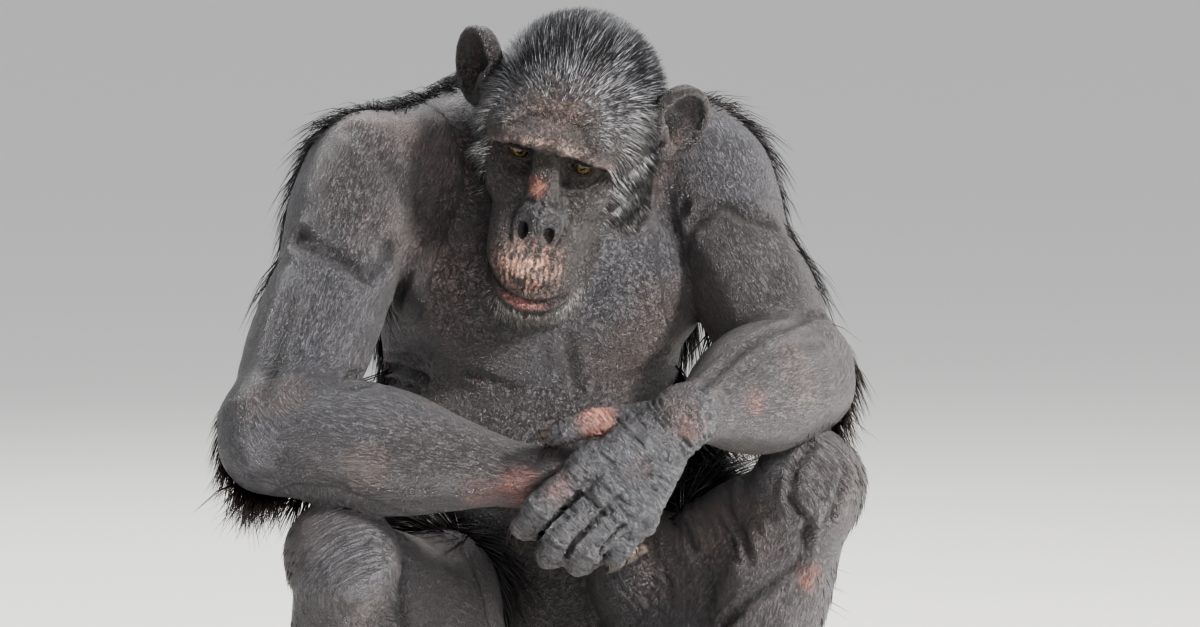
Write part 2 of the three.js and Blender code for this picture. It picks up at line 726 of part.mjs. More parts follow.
// A lock from a root on the skin: `lie` gives the way it runs, and its end stands `lift` off the skin
const LOCK_STATIONS = 3;
const LOCK_WIDTHS = [0.8, 1, 0.7];
function lock(field, root, lie, length, width, depth, lift) {
  const corners = [];
  let q = root;
  for (let i = 0; i <= LOCK_STATIONS; i++) {
    const normal = wayOut(field, q);
    const wanted = lie(q, normal);
    const run = unit(minus(wanted, times(normal, dot(wanted, normal))));
    const t = i / LOCK_STATIONS;
    const high = i === 0 ? -0.9 * depth : 0.35 * depth + lift * t * t;
    const centre = plus(q, times(normal, high));
    if (i < LOCK_STATIONS) {
      const side = times(cross(normal, run), (LOCK_WIDTHS[i] * width) / 2);
      const up = times(normal, (1 - 0.5 * t) * depth * 0.5);
      corners.push(plus(centre, side), plus(centre, up), minus(centre, side), minus(centre, up));
      q = settled(field, plus(q, times(run, length / LOCK_STATIONS)));
    } else corners.push(centre);
  }
  const faces = [[0, 2, 1], [0, 3, 2]];
  for (let i = 0; i + 1 < LOCK_STATIONS; i++)
    for (let k = 0; k < 4; k++) {
      const a = 4 * i + k;
      const b = 4 * i + ((k + 1) % 4);
      faces.push([a, b, a + 4], [b, b + 4, a + 4]);
    }
  const last = 4 * (LOCK_STATIONS - 1);
  for (let k = 0; k < 4; k++) faces.push([last + k, last + ((k + 1) % 4), last + 4]);
  return solidFrom({ points: corners, faces });
}

// Fuses locks to a node, cut clear of its neighbours
function haired(solid, locks, ...others) {
  const coat = others.reduce((s, o) => s.subtract(swollen(o, 3 * SEAM)).subtract(o), wasm.Manifold.union(locks));
  return largest(solid.add(coat));
}

const parts = new Map();
const clear = (solid, ...others) => largest(others.reduce((s, o) => s.subtract(swollen(o, SEAM)), solid));

// Head, eyes and ears
const eyes = [-1, 1].map((s) => {
  const g = new THREE.IcosahedronGeometry(EYE_R, 2);
  g.translate(...onHead([s * EYE[0], EYE[1], EYE[2]]));
  return solidOfGeometry(g);
});
const headSkin = placed(headField(), HEAD, HEAD_AXES);
const bareHead = clear(fleshOf(headSkin, 2.6, 2200), ...eyes);

const EAR_ROOT = [68, -4, 33];
const ears = [-1, 1].map((s) => {
  const up = unit([s * 0.12, 0.18, 1]);
  const slope = [s * 0.69, 0.72, -0.05];
  const away = unit(minus(slope, times(up, dot(slope, up))));
  const facing = times(cross(away, up), s);
  const centre = plus([s * EAR_ROOT[0], EAR_ROOT[1], EAR_ROOT[2] - 2 * s], times(away, 26));
  const earOnHead = placed(earField(), centre, [up, away, facing]);
  return clear(fleshOf(placed(earOnHead, HEAD, HEAD_AXES), 2, 360), bareHead);
});

// Trunk, parted into neck and torso
const NECK_CUT = [16, -99, 598];
const trunkSkin = torsoField();
const trunk = clear(fleshOf(trunkSkin, 10, 980).subtract(ground), bareHead, ...ears);
const [neck, bareTorso] = parted(trunk, NECK_CUT, [0.05, -0.75, 1], 420, HEAD);

// Arms
const armSkins = [RIGHT, LEFT].map(armField);
const limbs = [RIGHT, LEFT].map((side, i) => {
  const arm = clear(fleshOf(armSkins[i], 7, 560), trunk);
  const direction = unit(minus(side.wrist, side.elbow));
  const cuff = minus(side.wrist, times(direction, 4));
  const crook = bend(side.shoulder, side.elbow, side.wrist);
  const [upper, rest] = parted(arm, side.elbow, crook, 190, side.shoulder);
  return { upper, fore: parted(rest, cuff, direction, 130, side.elbow)[0] };
});
const handRight = clear(fleshOf(rightHand(), 3.2, 640), limbs[0].fore);
const handLeft = clear(fleshOf(leftHand(), 3.2, 740), limbs[1].fore, limbs[0].fore, handRight);

// Legs
const arms = limbs.flatMap((l) => [l.upper, l.fore]);
const legs = [RIGHT, LEFT].map((side) => {
  const leg = clear(fleshOf(legField(side), 7, 520).subtract(ground), bareTorso, ...arms);
  const [thigh, shin] = parted(leg, side.knee, bend(side.hip, side.knee, side.ankle), 620, side.hip);
  const foot = clear(fleshOf(footField(side), 4, 380).subtract(ground), shin);
  return { thigh, shin, foot };
});
const below = legs.flatMap((l) => [l.thigh, l.shin]);

// The long black coat of the back, in rows from the nape down to the rump
const backLocks = [];
const BACK_ROWS = 9;
const ROW_DROP = 61;
for (let row = 0; row < BACK_ROWS; row++) {
  const z = 628 - row * ROW_DROP;
  const across = row < 2 ? 5 : 6;
  for (let i = 0; i < across; i++) {
    const turn = radians(BODY_YAW + (i - (across - 1) / 2 + 0.5 * (row % 2) - 0.25) * 28 * vary(0.08));
    const way = [Math.sin(turn), Math.cos(turn), 0];
    const from = plus([-2, -40, z * vary(0.01)], times(way, 260));
    const root = meets(trunkSkin, from, times(way, -1));
    if (!root || armSkins.some((f) => f.at(...root) < 6)) continue;
    const lean = 0.5 * (random() - 0.5);
    const lie = () => [way[1] * lean, -way[0] * lean, -1];
    const length = Math.min(122 * vary(0.12), (z - 16) / 0.9);
    const width = 48 * vary(0.15);
    if (length > 40) backLocks.push(lock(trunkSkin, root, lie, length, width, 9, 7 + 8 * random()));
  }
}

// Longer hair behind the upper arms, hanging in a tuft from each elbow
const armLocks = [RIGHT, LEFT].map((side, k) => {
  const locks = [];
  const down = minus(side.elbow, side.shoulder);
  const [out, back] = frameAlong(side.shoulder, side.elbow, [side.side, 0, 0]);
  const rear = times(back, back[1] > 0 ? 1 : -1);
  for (let row = 0; row < 4; row++)
    for (let i = 0; i < 3; i++) {
      const turn = radians(24 + i * 36 + 10 * random());
      const way = plus(times(rear, Math.sin(turn)), times(out, Math.cos(turn)));
      const middle = plus(side.shoulder, times(down, 0.14 + 0.25 * row + 0.05 * random()));
      const root = meets(armSkins[k], plus(middle, times(way, 120)), times(way, -1));
      const lie = () => plus(unit(down), [0, 0, -0.35 * row]);
      const length = (74 + 6 * row) * vary(0.15);
      if (root) locks.push(lock(armSkins[k], root, lie, length, 30 * vary(0.15), 8, 10 + 8 * row));
    }
  return locks;
});

// Whiskers along the cheeks and swept-back hair over the crown and the nape
const headLocks = [];
const headWay = (v) => minus(onHead(v), HEAD);
for (const s of [-1, 1])
  for (let row = 0; row < 3; row++)
    for (let i = 0; i < 2; i++) {
      const way = unit([s, -0.3 + 0.4 * i, 0.3 - 0.45 * row]);
      const middle = [0, -24 + 10 * i, -8 * row];
      const root = meets(headSkin, onHead(plus(middle, times(way, 130))), headWay(times(way, -1)));
      const lie = () => headWay([s * 0.25, 0.6, -0.9]);
      if (root) headLocks.push(lock(headSkin, root, lie, 46 * vary(0.12), 24 * vary(0.15), 6, 9));
    }
for (let row = 0; row < 4; row++)
  for (let i = 0; i < 3; i++) {
    const turn = radians((i - 1.25 + 0.5 * (row % 2)) * 44);
    const tip = radians(-12 + 33 * row);
    const way = [Math.sin(turn), Math.cos(turn) * Math.sin(tip), Math.cos(turn) * Math.cos(tip)];
    const root = meets(headSkin, onHead(plus([0, 10, 20], times(way, 130))), headWay(times(way, -1)));
    const lie = () => headWay([Math.sin(turn) * 0.6, 1, -0.25 * row]);
    if (root) headLocks.push(lock(headSkin, root, lie, 56 * vary(0.12), 38 * vary(0.15), 5, 5));
  }

const head = haired(bareHead, headLocks, ...eyes, ...ears, neck, bareTorso, ...arms);
const torso = haired(bareTorso, backLocks, head, neck, ...arms, ...below);
const uppers = limbs.map((l, i) => haired(l.upper, armLocks[i], l.fore, torso, ...below, head, neck));

const put = (name, solid, slot) => parts.set(name, { solid, slot });
put('head', head, 'skin');
['right', 'left'].forEach((name, i) => {
  put(`eye_${name}`, eyes[i], 'eye');
  put(`ear_${name}`, ears[i], 'skin');
  put(`upper_arm_${name}`, uppers[i], 'skin');
  put(`forearm_${name}`, limbs[i].fore, 'skin');
  put(`hand_${name}`, [handRight, handLeft][i], 'skin');
  put(`thigh_${name}`, legs[i].thigh, 'skin');
  put(`shin_${name}`, legs[i].shin, 'skin');
  put(`foot_${name}`, legs[i].foot, 'skin');
});
put('neck', neck, 'skin');
put('torso', torso, 'skin');

const materials = {
  skin: new THREE.MeshStandardMaterial({ color: 0x4c4649, roughness: 0.62, metalness: 0 }),
  eye: new THREE.MeshStandardMaterial({ color: 0x3a2412, roughness: 0.1, metalness: 0 }),
};

const chimpanzee = new THREE.Group();
chimpanzee.name = 'chimpanzee';
for (const [name, { solid, slot }] of parts) {
  const mesh = new THREE.Mesh(geometryOf(solid), materials[slot]);
  mesh.name = name;
  chimpanzee.add(mesh);
}

export default chimpanzee;
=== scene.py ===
# %% [markdown]
# # A sitting chimpanzee
# This lesson builds the looks of an old, nearly hairless chimpanzee who sits with his knees drawn up and
# one hand holding the other wrist. The solid parts of the animal are already packed as a CAD model, and
# this file dresses them: one skin without a seam, real eyes, nails and a coat of long hair tufts.

# %% Open the frame
import math

import bpy
import numpy as np
from mathutils import Matrix, Vector
from mathutils.bvhtree import BVHTree


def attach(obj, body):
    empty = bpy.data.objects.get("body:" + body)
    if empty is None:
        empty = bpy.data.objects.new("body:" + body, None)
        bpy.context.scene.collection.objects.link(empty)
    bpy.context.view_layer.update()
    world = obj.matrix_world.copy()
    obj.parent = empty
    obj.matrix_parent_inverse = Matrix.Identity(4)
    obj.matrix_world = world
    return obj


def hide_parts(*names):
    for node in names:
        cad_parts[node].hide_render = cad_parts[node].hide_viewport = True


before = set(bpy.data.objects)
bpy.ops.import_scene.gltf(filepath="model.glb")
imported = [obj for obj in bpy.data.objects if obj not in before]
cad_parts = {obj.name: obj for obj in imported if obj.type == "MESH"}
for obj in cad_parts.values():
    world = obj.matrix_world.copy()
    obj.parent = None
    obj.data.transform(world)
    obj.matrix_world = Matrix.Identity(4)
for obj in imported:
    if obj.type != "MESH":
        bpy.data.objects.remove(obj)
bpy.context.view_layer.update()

MM = 0.001  # the sizes below are in millimetres, as they would be taken from the animal
BODY_YAW, HEAD_YAW, HEAD_PITCH, HEAD_ROLL = 15, -18, 31, 17  # in degrees
EYE_R = 11.5
TINY = 1e-9  # keeps a division from meeting zero

# %% [markdown]
# ## Distance fields
# Flesh has no corners and no seams: one muscle melts into the next. It could be sculpted by hand or made
# from metaballs, but a distance field gives exact sizes. Each shape is a function that tells how far a
# point is from its surface, negative inside, and shapes melt together where the smaller distance is taken
# with a soft corner.

# %% Vectors and frames
def vec(*p):
    return np.array(p, float)

def unit(a):
    return a / np.linalg.norm(a)

def unit_rows(v):
    return v / np.maximum(np.linalg.norm(v, axis=1, keepdims=True), TINY)

def mix(a, b, t):
    return np.asarray(a, float) * (1 - t) + np.asarray(b, float) * t

def frame_along(a, b, side):
    w = unit(np.subtract(b, a))
    u = unit(side - w * np.dot(side, w))
    return np.array([u, np.cross(w, u), w])

def turned(yaw, pitch, roll):
    m = Matrix.Identity(3)
    for angle, axis in ((yaw, "Z"), (pitch, "X"), (roll, "Y")):
        m = m @ Matrix.Rotation(math.radians(angle), 3, axis)
    return np.array(m).T

STRAIGHT = np.eye(3)

def out_of(origin, axes, p):
    return np.asarray(origin, float) + p[0] * axes[0] + p[1] * axes[1] + p[2] * axes[2]

def in_frame(x, y, z, origin, axes):
    px, py, pz = x - origin[0], y - origin[1], z - origin[2]
    return [px * a[0] + py * a[1] + pz * a[2] for a in axes]

def to_line(p, a, b):  # how far along the line from a to b each point lies, and how far from the line
    d = b - a
    t = np.clip((p - a) @ d / max(d @ d, TINY), 0, 1)
    return t, np.linalg.norm(p - a - t[:, None] * d, axis=1)

# %% Shapes as fields
class Field:
    def __init__(self, at, lo, hi):
        self.at, self.lo, self.hi = at, np.asarray(lo, float), np.asarray(hi, float)

def holding(points, reach):
    p = np.array(points, float)
    return p.min(0) - reach, p.max(0) + reach

def around(fields, reach=0):
    return np.min([f.lo for f in fields], 0) - reach, np.max([f.hi for f in fields], 0) + reach

def limb(a, b, ra, rb):
    a, b = np.array(a, float), np.array(b, float)
    d = b - a
    inv = 1 / max(d @ d, TINY)
    def at(x, y, z):
        px, py, pz = x - a[0], y - a[1], z - a[2]
        t = np.clip((px * d[0] + py * d[1] + pz * d[2]) * inv, 0, 1)
        away = np.sqrt((px - t * d[0]) ** 2 + (py - t * d[1]) ** 2 + (pz - t * d[2]) ** 2)
        return away - ra - (rb - ra) * t
    return Field(at, *holding([a, b], max(ra, rb)))

def egg(centre, radii, axes=STRAIGHT):
    c, r = np.array(centre, float), radii
    def at(x, y, z):
        a, b, e = (q / size for q, size in zip(in_frame(x, y, z, c, axes), r))
        near = np.sqrt(a * a + b * b + e * e)
        slope = np.sqrt((a / r[0]) ** 2 + (b / r[1]) ** 2 + (e / r[2]) ** 2)
        return np.where(slope < TINY, -min(r), near * (near - 1) / np.maximum(slope, TINY))
    return Field(at, *holding([c], max(r)))

def muscle(a, b, wide, deep, side):
    a, b = np.array(a, float), np.array(b, float)
    return egg((a + b) / 2, (wide, deep, np.linalg.norm(b - a) / 2), frame_along(a, b, side))

def flat(shapes):
    out = []
    for s in shapes:
        out.extend(flat(s) if isinstance(s, (list, tuple)) else [s])
    return out

def smooth_min(a, b, k):
    h = np.maximum(k - np.abs(a - b), 0) / k
    return np.minimum(a, b) - h * h * k / 4

def blend(k, *shapes):
    fields = flat(shapes)
    def at(x, y, z):
        d = fields[0].at(x, y, z)
        for f in fields[1:]:
            d = smooth_min(d, f.at(x, y, z), k)
        return d
    return Field(at, *around(fields, k / 4))

def carve(k, shape, *cutters):
    def at(x, y, z):
        d = -shape.at(x, y, z)
        for f in flat(cutters):
            d = smooth_min(d, f.at(x, y, z), k)
        return -d
    return Field(at, shape.lo, shape.hi)

def placed(shape, origin, axes):
    ends = (shape.lo, shape.hi)
    corners = [out_of(origin, axes, (a[0], b[1], c[2])) for a in ends for b in ends for c in ends]
    return Field(lambda x, y, z: shape.at(*in_frame(x, y, z, origin, axes)), *holding(corners, 0))

def links(points, radii):
    return [limb(*link) for link in zip(points, points[1:], radii, radii[1:])]

print("5 off the line of a limb of radius 2:", limb((0, 0, 0), (9, 0, 0), 2, 2).at(4, 5, 0), "outside")

# %% [markdown]
# ## The skeleton
# A pose is easiest to hold as a few joints. The hip, knee, ankle, shoulder, elbow and wrist of each side
# are set where they lie on the sitting animal, and every muscle is hung between them.

# %% Joints
class Side:
    def __init__(self, **joints):
        for name, value in joints.items():
            setattr(self, name, np.array(value, float) if isinstance(value, tuple) else value)

HEAD = vec(21, -158, 602)
RIGHT = Side(side=-1, groin=22, shoulder=(-144, -119, 558), elbow=(-226, -287, 352), wrist=(13, -370, 322),
             hip=(-72, -40, 108), knee=(-168, -311, 252), ankle=(-172, -165, 66), toes=(-186, -321, 20))
LEFT = Side(side=1, groin=52, shoulder=(122, -35, 562), elbow=(215, -213, 394), wrist=(112, -417, 378),
            hip=(72, -22, 108), knee=(224, -215, 302), ankle=(156, -183, 66), toes=(176, -339, 20))
CHEST = turned(BODY_YAW, 0, 0)
HEAD_AXES = turned(HEAD_YAW, HEAD_PITCH, HEAD_ROLL)
print("left forearm", np.linalg.norm(LEFT.wrist - LEFT.elbow).round(), "mm long")

# %% [markdown]
# ## Trunk
# A chimpanzee's trunk is a deep barrel with a wide flare at the shoulders and no waist to speak of. Seven
# eggs make the barrel, and two limbs carry the shoulders and neck.

# %% Trunk
def chest_at(x, y, z):
    return out_of((-6, -77, 0), CHEST, (x, y, z))

trunk = blend(
    46,
    egg((0, 0, 104), (118, 98, 104)),
    egg((-4, -16, 214), (122, 110, 112), CHEST),
    egg(chest_at(0, 30, 330), (134, 116, 122), CHEST),
    egg(chest_at(0, 16, 452), (138, 108, 112), CHEST),
    egg(chest_at(4, 64, 546), (130, 64, 84), CHEST),
    [egg((s * 58, 4, 64), (64, 64, 67)) for s in (-1, 1)],
    [egg(chest_at(s * 60, -62, 466), (72, 44, 56), turned(BODY_YAW, -14, 0)) for s in (-1, 1)],
    limb(chest_at(8, 44, 578), RIGHT.shoulder, 66, 54),
    limb(chest_at(8, 44, 576), LEFT.shoulder, 60, 52),
    limb(chest_at(14, 38, 560), HEAD + vec(2, 34, -2), 76, 62),
    limb(chest_at(6, -36, 520), HEAD + vec(-4, -8, -52), 60, 44),
)

# %% [markdown]
# ## Arms and hands
# The arms are long and strong, with a clear shoulder muscle and a thick forearm that thins quickly to the
# wrist. The left hand is laid over the right wrist, so its fingers are drawn as four chains of knuckles.

# %% Arms
def arm_field(arm):
    side, shoulder, elbow, wrist = arm.side, arm.shoulder, arm.elbow, arm.wrist
    outward, forward = vec(side, 0, 0), vec(0, -1, 0)
    lower = unit(wrist - elbow)
    axes = frame_along(shoulder, elbow, outward)
    off = lambda at, a, b: out_of(at, axes, (a, b, 0))
    upper = [
        muscle(off(shoulder + vec(0, 0, 46), 4, 0), mix(shoulder, elbow, 0.5), 52, 54, outward),
        limb(mix(shoulder, elbow, 0.2), mix(shoulder, elbow, 0.9), 46, 42),
        muscle(off(mix(shoulder, elbow, 0.22), 0, 18 * side), off(elbow, 0, 12 * side), 42, 36, outward),
        muscle(off(mix(shoulder, elbow, 0.12), 4, -20 * side), off(elbow, 2, -12 * side), 48, 42, outward),
    ]
    fore = [
        limb(elbow, wrist, 42, 25),
        muscle(elbow - lower * 34, mix(elbow, wrist, 0.78), 50, 48, forward),
        muscle(elbow + vec(0, -4, 8), mix(elbow, wrist, 0.62), 44, 50, forward),
        limb(elbow + 16 * unit(elbow - shoulder), elbow, 30, 40),
    ]
    return blend(22, upper, fore)

# %% [markdown]
# ### Hands
# A hand is a palm with five chains of bones. It could be one smooth mitten with grooves, but the fingers
# are clearly apart in the photo, so each is a chain of limbs of its own, and four wide limbs from the
# wrist make the palm.

# %% Hands
def finger(points, radii):
    return blend(5, links(points, radii))

def beside(joint, *steps):
    return [joint + vec(*p) for p in steps]

FINGERS_LEFT = [beside(LEFT.wrist, *chain) for chain in (
    ((-76, -6, -38), (-114, 0, -73), (-126, 20, -90), (-104, 44, -92)),
    ((-56, -9, -53), (-98, 0, -97), (-106, 20, -113), (-84, 46, -112)),
    ((-39, -6, -70), (-76, 0, -106), (-82, 20, -120), (-62, 46, -114)),
    ((-32, 2, -84), (-48, 6, -103), (-54, 24, -116), (-38, 44, -112)),
)]
THUMB_LEFT = beside(LEFT.wrist, (-14, 6, -2), (-50, 18, -4), (-72, 14, -5), (-92, 14, -12), (-104, 18, -17))
FINGERS_RIGHT = [beside(RIGHT.wrist, *chain) for chain in (
    ((44, 10, 4), (56, 38, -14), (42, 56, -30)),
    ((50, 14, -14), (60, 44, -32), (44, 60, -46)),
    ((50, 18, -30), (58, 46, -48), (40, 60, -60)),
    ((44, 20, -44), (50, 44, -58), (34, 54, -66)),
)]
THUMB_RIGHT = beside(RIGHT.wrist, (8, 10, 10), (30, 34, 14), (44, 52, 6), (50, 64, -6))

def left_hand():
    thick = (12.5, 13, 12, 10)
    fingers = [finger(c, (t + 1, t, t - 1.5, t - 3)) for c, t in zip(FINGERS_LEFT, thick)]
    palm = [limb(LEFT.wrist + vec(6 - i * 3, 4, 2 - i * 3), c[0], 23 - i, 14.5 - i * 0.6)
            for i, c in enumerate(FINGERS_LEFT)]
    return blend(7, palm, fingers, finger(THUMB_LEFT, (17, 12, 11, 9.5, 8)))

def right_hand():
    thick = (11.5, 12, 11.5, 10)
    fingers = [finger(c, (t + 1, t, t - 2)) for c, t in zip(FINGERS_RIGHT, thick)]
    palm = [limb(RIGHT.wrist + vec(2, 2, 2 - i * 5), c[0], 21 - i, 14) for i, c in enumerate(FINGERS_RIGHT)]
    return blend(7, palm, fingers, finger(THUMB_RIGHT, (15, 12, 10, 8)))

print("fingers", len(FINGERS_LEFT) + len(FINGERS_RIGHT), "and two thumbs")

# %% [markdown]
# ## Legs and feet
# The thighs splay outward from the hips and the shins come steeply back down, so that the knees stand
# high. The foot is a second hand, with a big toe set apart like a thumb.

# %% Legs
def leg_field(leg):
    side, hip, knee, ankle = leg.side, leg.hip, leg.knee, leg.ankle
    outward, inward = vec(side, 0, 0), vec(-side, 0, 0)
    shin = frame_along(knee, ankle, outward)
    return blend(
        16,
        limb(hip, knee, 66, 42),
        muscle(mix(hip, knee, -0.1), mix(hip, knee, 0.98), 74, 66, outward),
        muscle(mix(hip, knee, 0.1) + inward * 18, mix(hip, knee, 0.95) + inward * 14, 54, 52, outward),
        egg(mix(hip, knee, 0.42) + inward * leg.groin + vec(0, -10, 34), (52, 60, 60)),
        egg(knee + vec(0, -6, 4), (44, 44, 46)),
        limb(knee, ankle, 40, 27),
        muscle(out_of(mix(knee, ankle, 0.02), shin, (-4, 12 * side, 0)),
               out_of(mix(knee, ankle, 0.76), shin, (-4, 12 * side, 0)), 46, 44, outward),
        limb(ankle, ankle + vec(0, 16, -22), 28, 30),
    )

# %% [markdown]
# ### Feet
# The feet are out of the picture, so they follow the species: a broad heel, four toes side by side and a
# big toe that stands off to the inside. The chains of toes are kept in a function, because the nails need
# them again.

# %% Feet
def foot_chains(leg):
    ahead = unit(vec(leg.toes[0] - leg.ankle[0], leg.toes[1] - leg.ankle[1], 0))
    across = vec(ahead[1] * leg.side, -ahead[0] * leg.side, 0)
    at = lambda f, s, z: vec(leg.ankle[0], leg.ankle[1], 0) + ahead * f + across * s + vec(0, 0, z)
    outers = []
    for i in (1, 2, 3, 4):
        spread, reach = -14 + i * 12.5, 152 - i * 6
        outers.append([at(70, -10 + i * 9, 26), at(reach - 34, spread, 24), at(reach - 12, spread + 2, 20),
                       at(reach, spread + 3, 11)])
    return at, outers, [at(26, -22, 26), at(62, -46, 22), at(88, -58, 18), at(104, -60, 13)]

def foot_field(leg):
    at, outers, big = foot_chains(leg)
    heel = limb(at(-34, 2, 24), at(0, 0, 44), 27, 30)
    instep = limb(at(0, 0, 46), at(74, 6, 26), 30, 22)
    sole = limb(at(-30, 6, 22), at(72, 22, 20), 24, 18)
    toes = [finger(c, (17, 12.5, 11, 9.5)) for c in outers]
    return blend(9, heel, instep, sole, toes, finger(big, (22, 17, 14.5, 12)))

# %% [markdown]
# ## Head and ears
# The face is a long muzzle under a heavy brow. The field has a frame of its own, about a point midway
# between the ears, so that the face can be built straight and then turned to the pose of the head.

# %% Head
EYE = (28, -64, 18)
MOUTH = (11, -77)  # the middle of the mouth, to the left and up

def both(make):
    return [make(s) for s in (-1, 1)]

def chain(points, radii):
    fields = links(points, radii)
    return Field(lambda x, y, z: np.minimum.reduce([f.at(x, y, z) for f in fields]), *around(fields))

def mouth_line(out, up, radius, ends):
    span = [i / 6 for i in range(-6, 7)]
    points = [(MOUTH[0] + (36 + out) * math.sin(t * 1.25),
               -106 - (40 + out) * math.cos(t * 1.25) + 3 * t * t,
               MOUTH[1] + up + 5 * t * t) for t in span]
    return chain(points, [ends] + [radius] * 11 + [ends])

def head_field():
    skull = blend(
        20,
        egg((0, 8, 26), (67, 78, 66)),
        egg((0, 46, -6), (50, 42, 40)),
        both(lambda s: egg((s * 48, -10, -20), (24, 40, 46))),
        limb((-30, -54, 42), (30, -54, 42), 21, 21),
        egg((0, -58, -14), (48, 44, 42)),
        egg((3, -90, -46), (41, 50, 36)),
        egg((8, -100, -92), (33, 36, 22)),
        both(lambda s: limb((s * 50, -24, 30), (s * 47, -50, 34), 15, 13)),
        both(lambda s: limb((s * 46, 0, -52), (s * 17 + 7, -80, -94), 21, 19)),
        limb((0, 6, -46), (0, -44, -74), 40, 30),
    )
    browed = blend(
        10,
        skull,
        both(lambda s: limb((s * 60, -20, 4), (s * 37, -74, -14), 12, 14)),
        both(lambda s: limb((s * 54, -50, 4), (s * 51, -58, 30), 8, 9)),
        both(lambda s: limb((s * 51, -58, 30), (s * 38, -74, 43), 9, 9.5)),
        both(lambda s: limb((s * 38, -74, 43), (s * 13, -82, 46), 9.5, 9)),
        limb((-13, -82, 46), (13, -82, 46), 9, 9),
    )
    sockets = carve(10, browed, both(lambda s: egg((s * 29, -94, 17), (22, 25, 17))))
    lid = (EYE_R + 3, EYE_R + 2.5, EYE_R + 2.5)
    lids = blend(4, sockets, both(lambda s: egg((s * EYE[0], *EYE[1:]), lid)))
    nosed = blend(
        9,
        lids,
        limb((0, -84, 24), (4, -101, 2), 12, 12),
        egg((7, -108, -13), (14, 13, 15)),
        egg((8, -117, -16), (7, 8, 13)),
        both(lambda s: limb((s * 11 + 7, -107, -8), (s * 14 + 7, -110, -22), 8, 8)),
        egg((5, -114, -54), (37, 34, 26)),
        egg((10, -112, -90), (32, 32, 16)),
        egg((11, -103, -104), (29, 28, 17)),
    )
    lips = blend(7, nosed, mouth_line(-3, 5, 4.5, 2), mouth_line(-3, -6, 5, 2))
    return carve(3, lips, both(lambda s: egg((s * 10.5 + 7, -122, -23), (4.6, 10, 7))),
                 both(lambda s: egg((s * EYE[0], EYE[1] - EYE_R, EYE[2] - 1), (10.5, 9, 5))),
                 mouth_line(1, 0, 2, 1))

def ear_field():
    turn = [math.radians(-116 + k * 262 / 12) for k in range(13)]
    rim = chain([(33 * math.sin(t), 23 * math.cos(t) + 2, 5 + 3 * math.cos(t)) for t in turn], [4] * 13)
    cup = carve(3, egg((0, 0, -2), (35, 27, 12)), egg((2, 0, 12), (29, 21, 16)),
                egg((-4, -6, 4), (13, 11, 11)))
    return blend(3, cup, rim, egg((-27, -6, 4), (11, 10, 5)), egg((-6, -22, 4), (16, 8, 9)),
                 limb((-14, -10, 7), (-2, -16, 8), 4, 4))

def ear_frame(s):
    up = unit(vec(s * 0.12, 0.18, 1))
    slope = vec(s * 0.69, 0.72, -0.05)
    away = unit(slope - up * (slope @ up))
    axes = np.array([up, away, np.cross(away, up) * s])
    return out_of(HEAD, HEAD_AXES, vec(s * 68, -4, 33 - 2 * s) + away * 26), axes @ HEAD_AXES

print("left ear at", ear_frame(1)[0].round())

# %% [markdown]
# ## One skin
# Real skin runs over the whole animal without a seam, so all the fields are melted into one before any
# surface is made. The fillet is wide where a limb grows out of the trunk and almost nothing where two
# parts only touch.

# %% The whole body as one field
parts = {
    "trunk": (trunk, 0, 0, None, 0),
    "arm_right": (arm_field(RIGHT), 30, 1.5, RIGHT.shoulder, 130),
    "arm_left": (arm_field(LEFT), 30, 1.5, LEFT.shoulder, 130),
    "head": (placed(head_field(), HEAD, HEAD_AXES), 14, 14, None, 0),
    "ear_right": (placed(ear_field(), *ear_frame(-1)), 4, 4, None, 0),
    "ear_left": (placed(ear_field(), *ear_frame(1)), 4, 4, None, 0),
    "hand_right": (right_hand(), 8, 1.2, RIGHT.wrist, 60),
    "hand_left": (left_hand(), 8, 1.2, LEFT.wrist, 60),
    "leg_right": (leg_field(RIGHT), 18, 1.5, RIGHT.hip, 190),
    "leg_left": (leg_field(LEFT), 18, 1.5, LEFT.hip, 190),
    "foot_right": (foot_field(RIGHT), 9, 2, RIGHT.ankle, 80),
    "foot_left": (foot_field(LEFT), 9, 2, LEFT.ankle, 80),
}
MARGIN = 34

def flesh(x, y, z):
    d = np.full(x.shape, 900.0)
    for name, (field, near, far, joint, reach) in parts.items():
        lo, hi = field.lo - MARGIN, field.hi + MARGIN
        m = (x > lo[0]) & (x < hi[0]) & (y > lo[1]) & (y < hi[1]) & (z > lo[2]) & (z < hi[2])
        if not m.any():
            continue
        px, py, pz = x[m], y[m], z[m]
        k = near or 1
        if joint is not None:
            away = np.sqrt((px - joint[0]) ** 2 + (py - joint[1]) ** 2 + (pz - joint[2]) ** 2) / reach
            k = far + (near - far) * np.clip(1.6 - away * 1.6, 0, 1)
        d[m] = smooth_min(d[m], field.at(px, py, pz), k)
    return np.maximum(d, -z)

# %% [markdown]
# ## From field to mesh
# A grid of samples is laid over the body, and one point is set in every cell that the surface passes
# through, which gives an even net of four-sided faces. Marching cubes would do it too, but leaves thin
# slivers that shade badly.

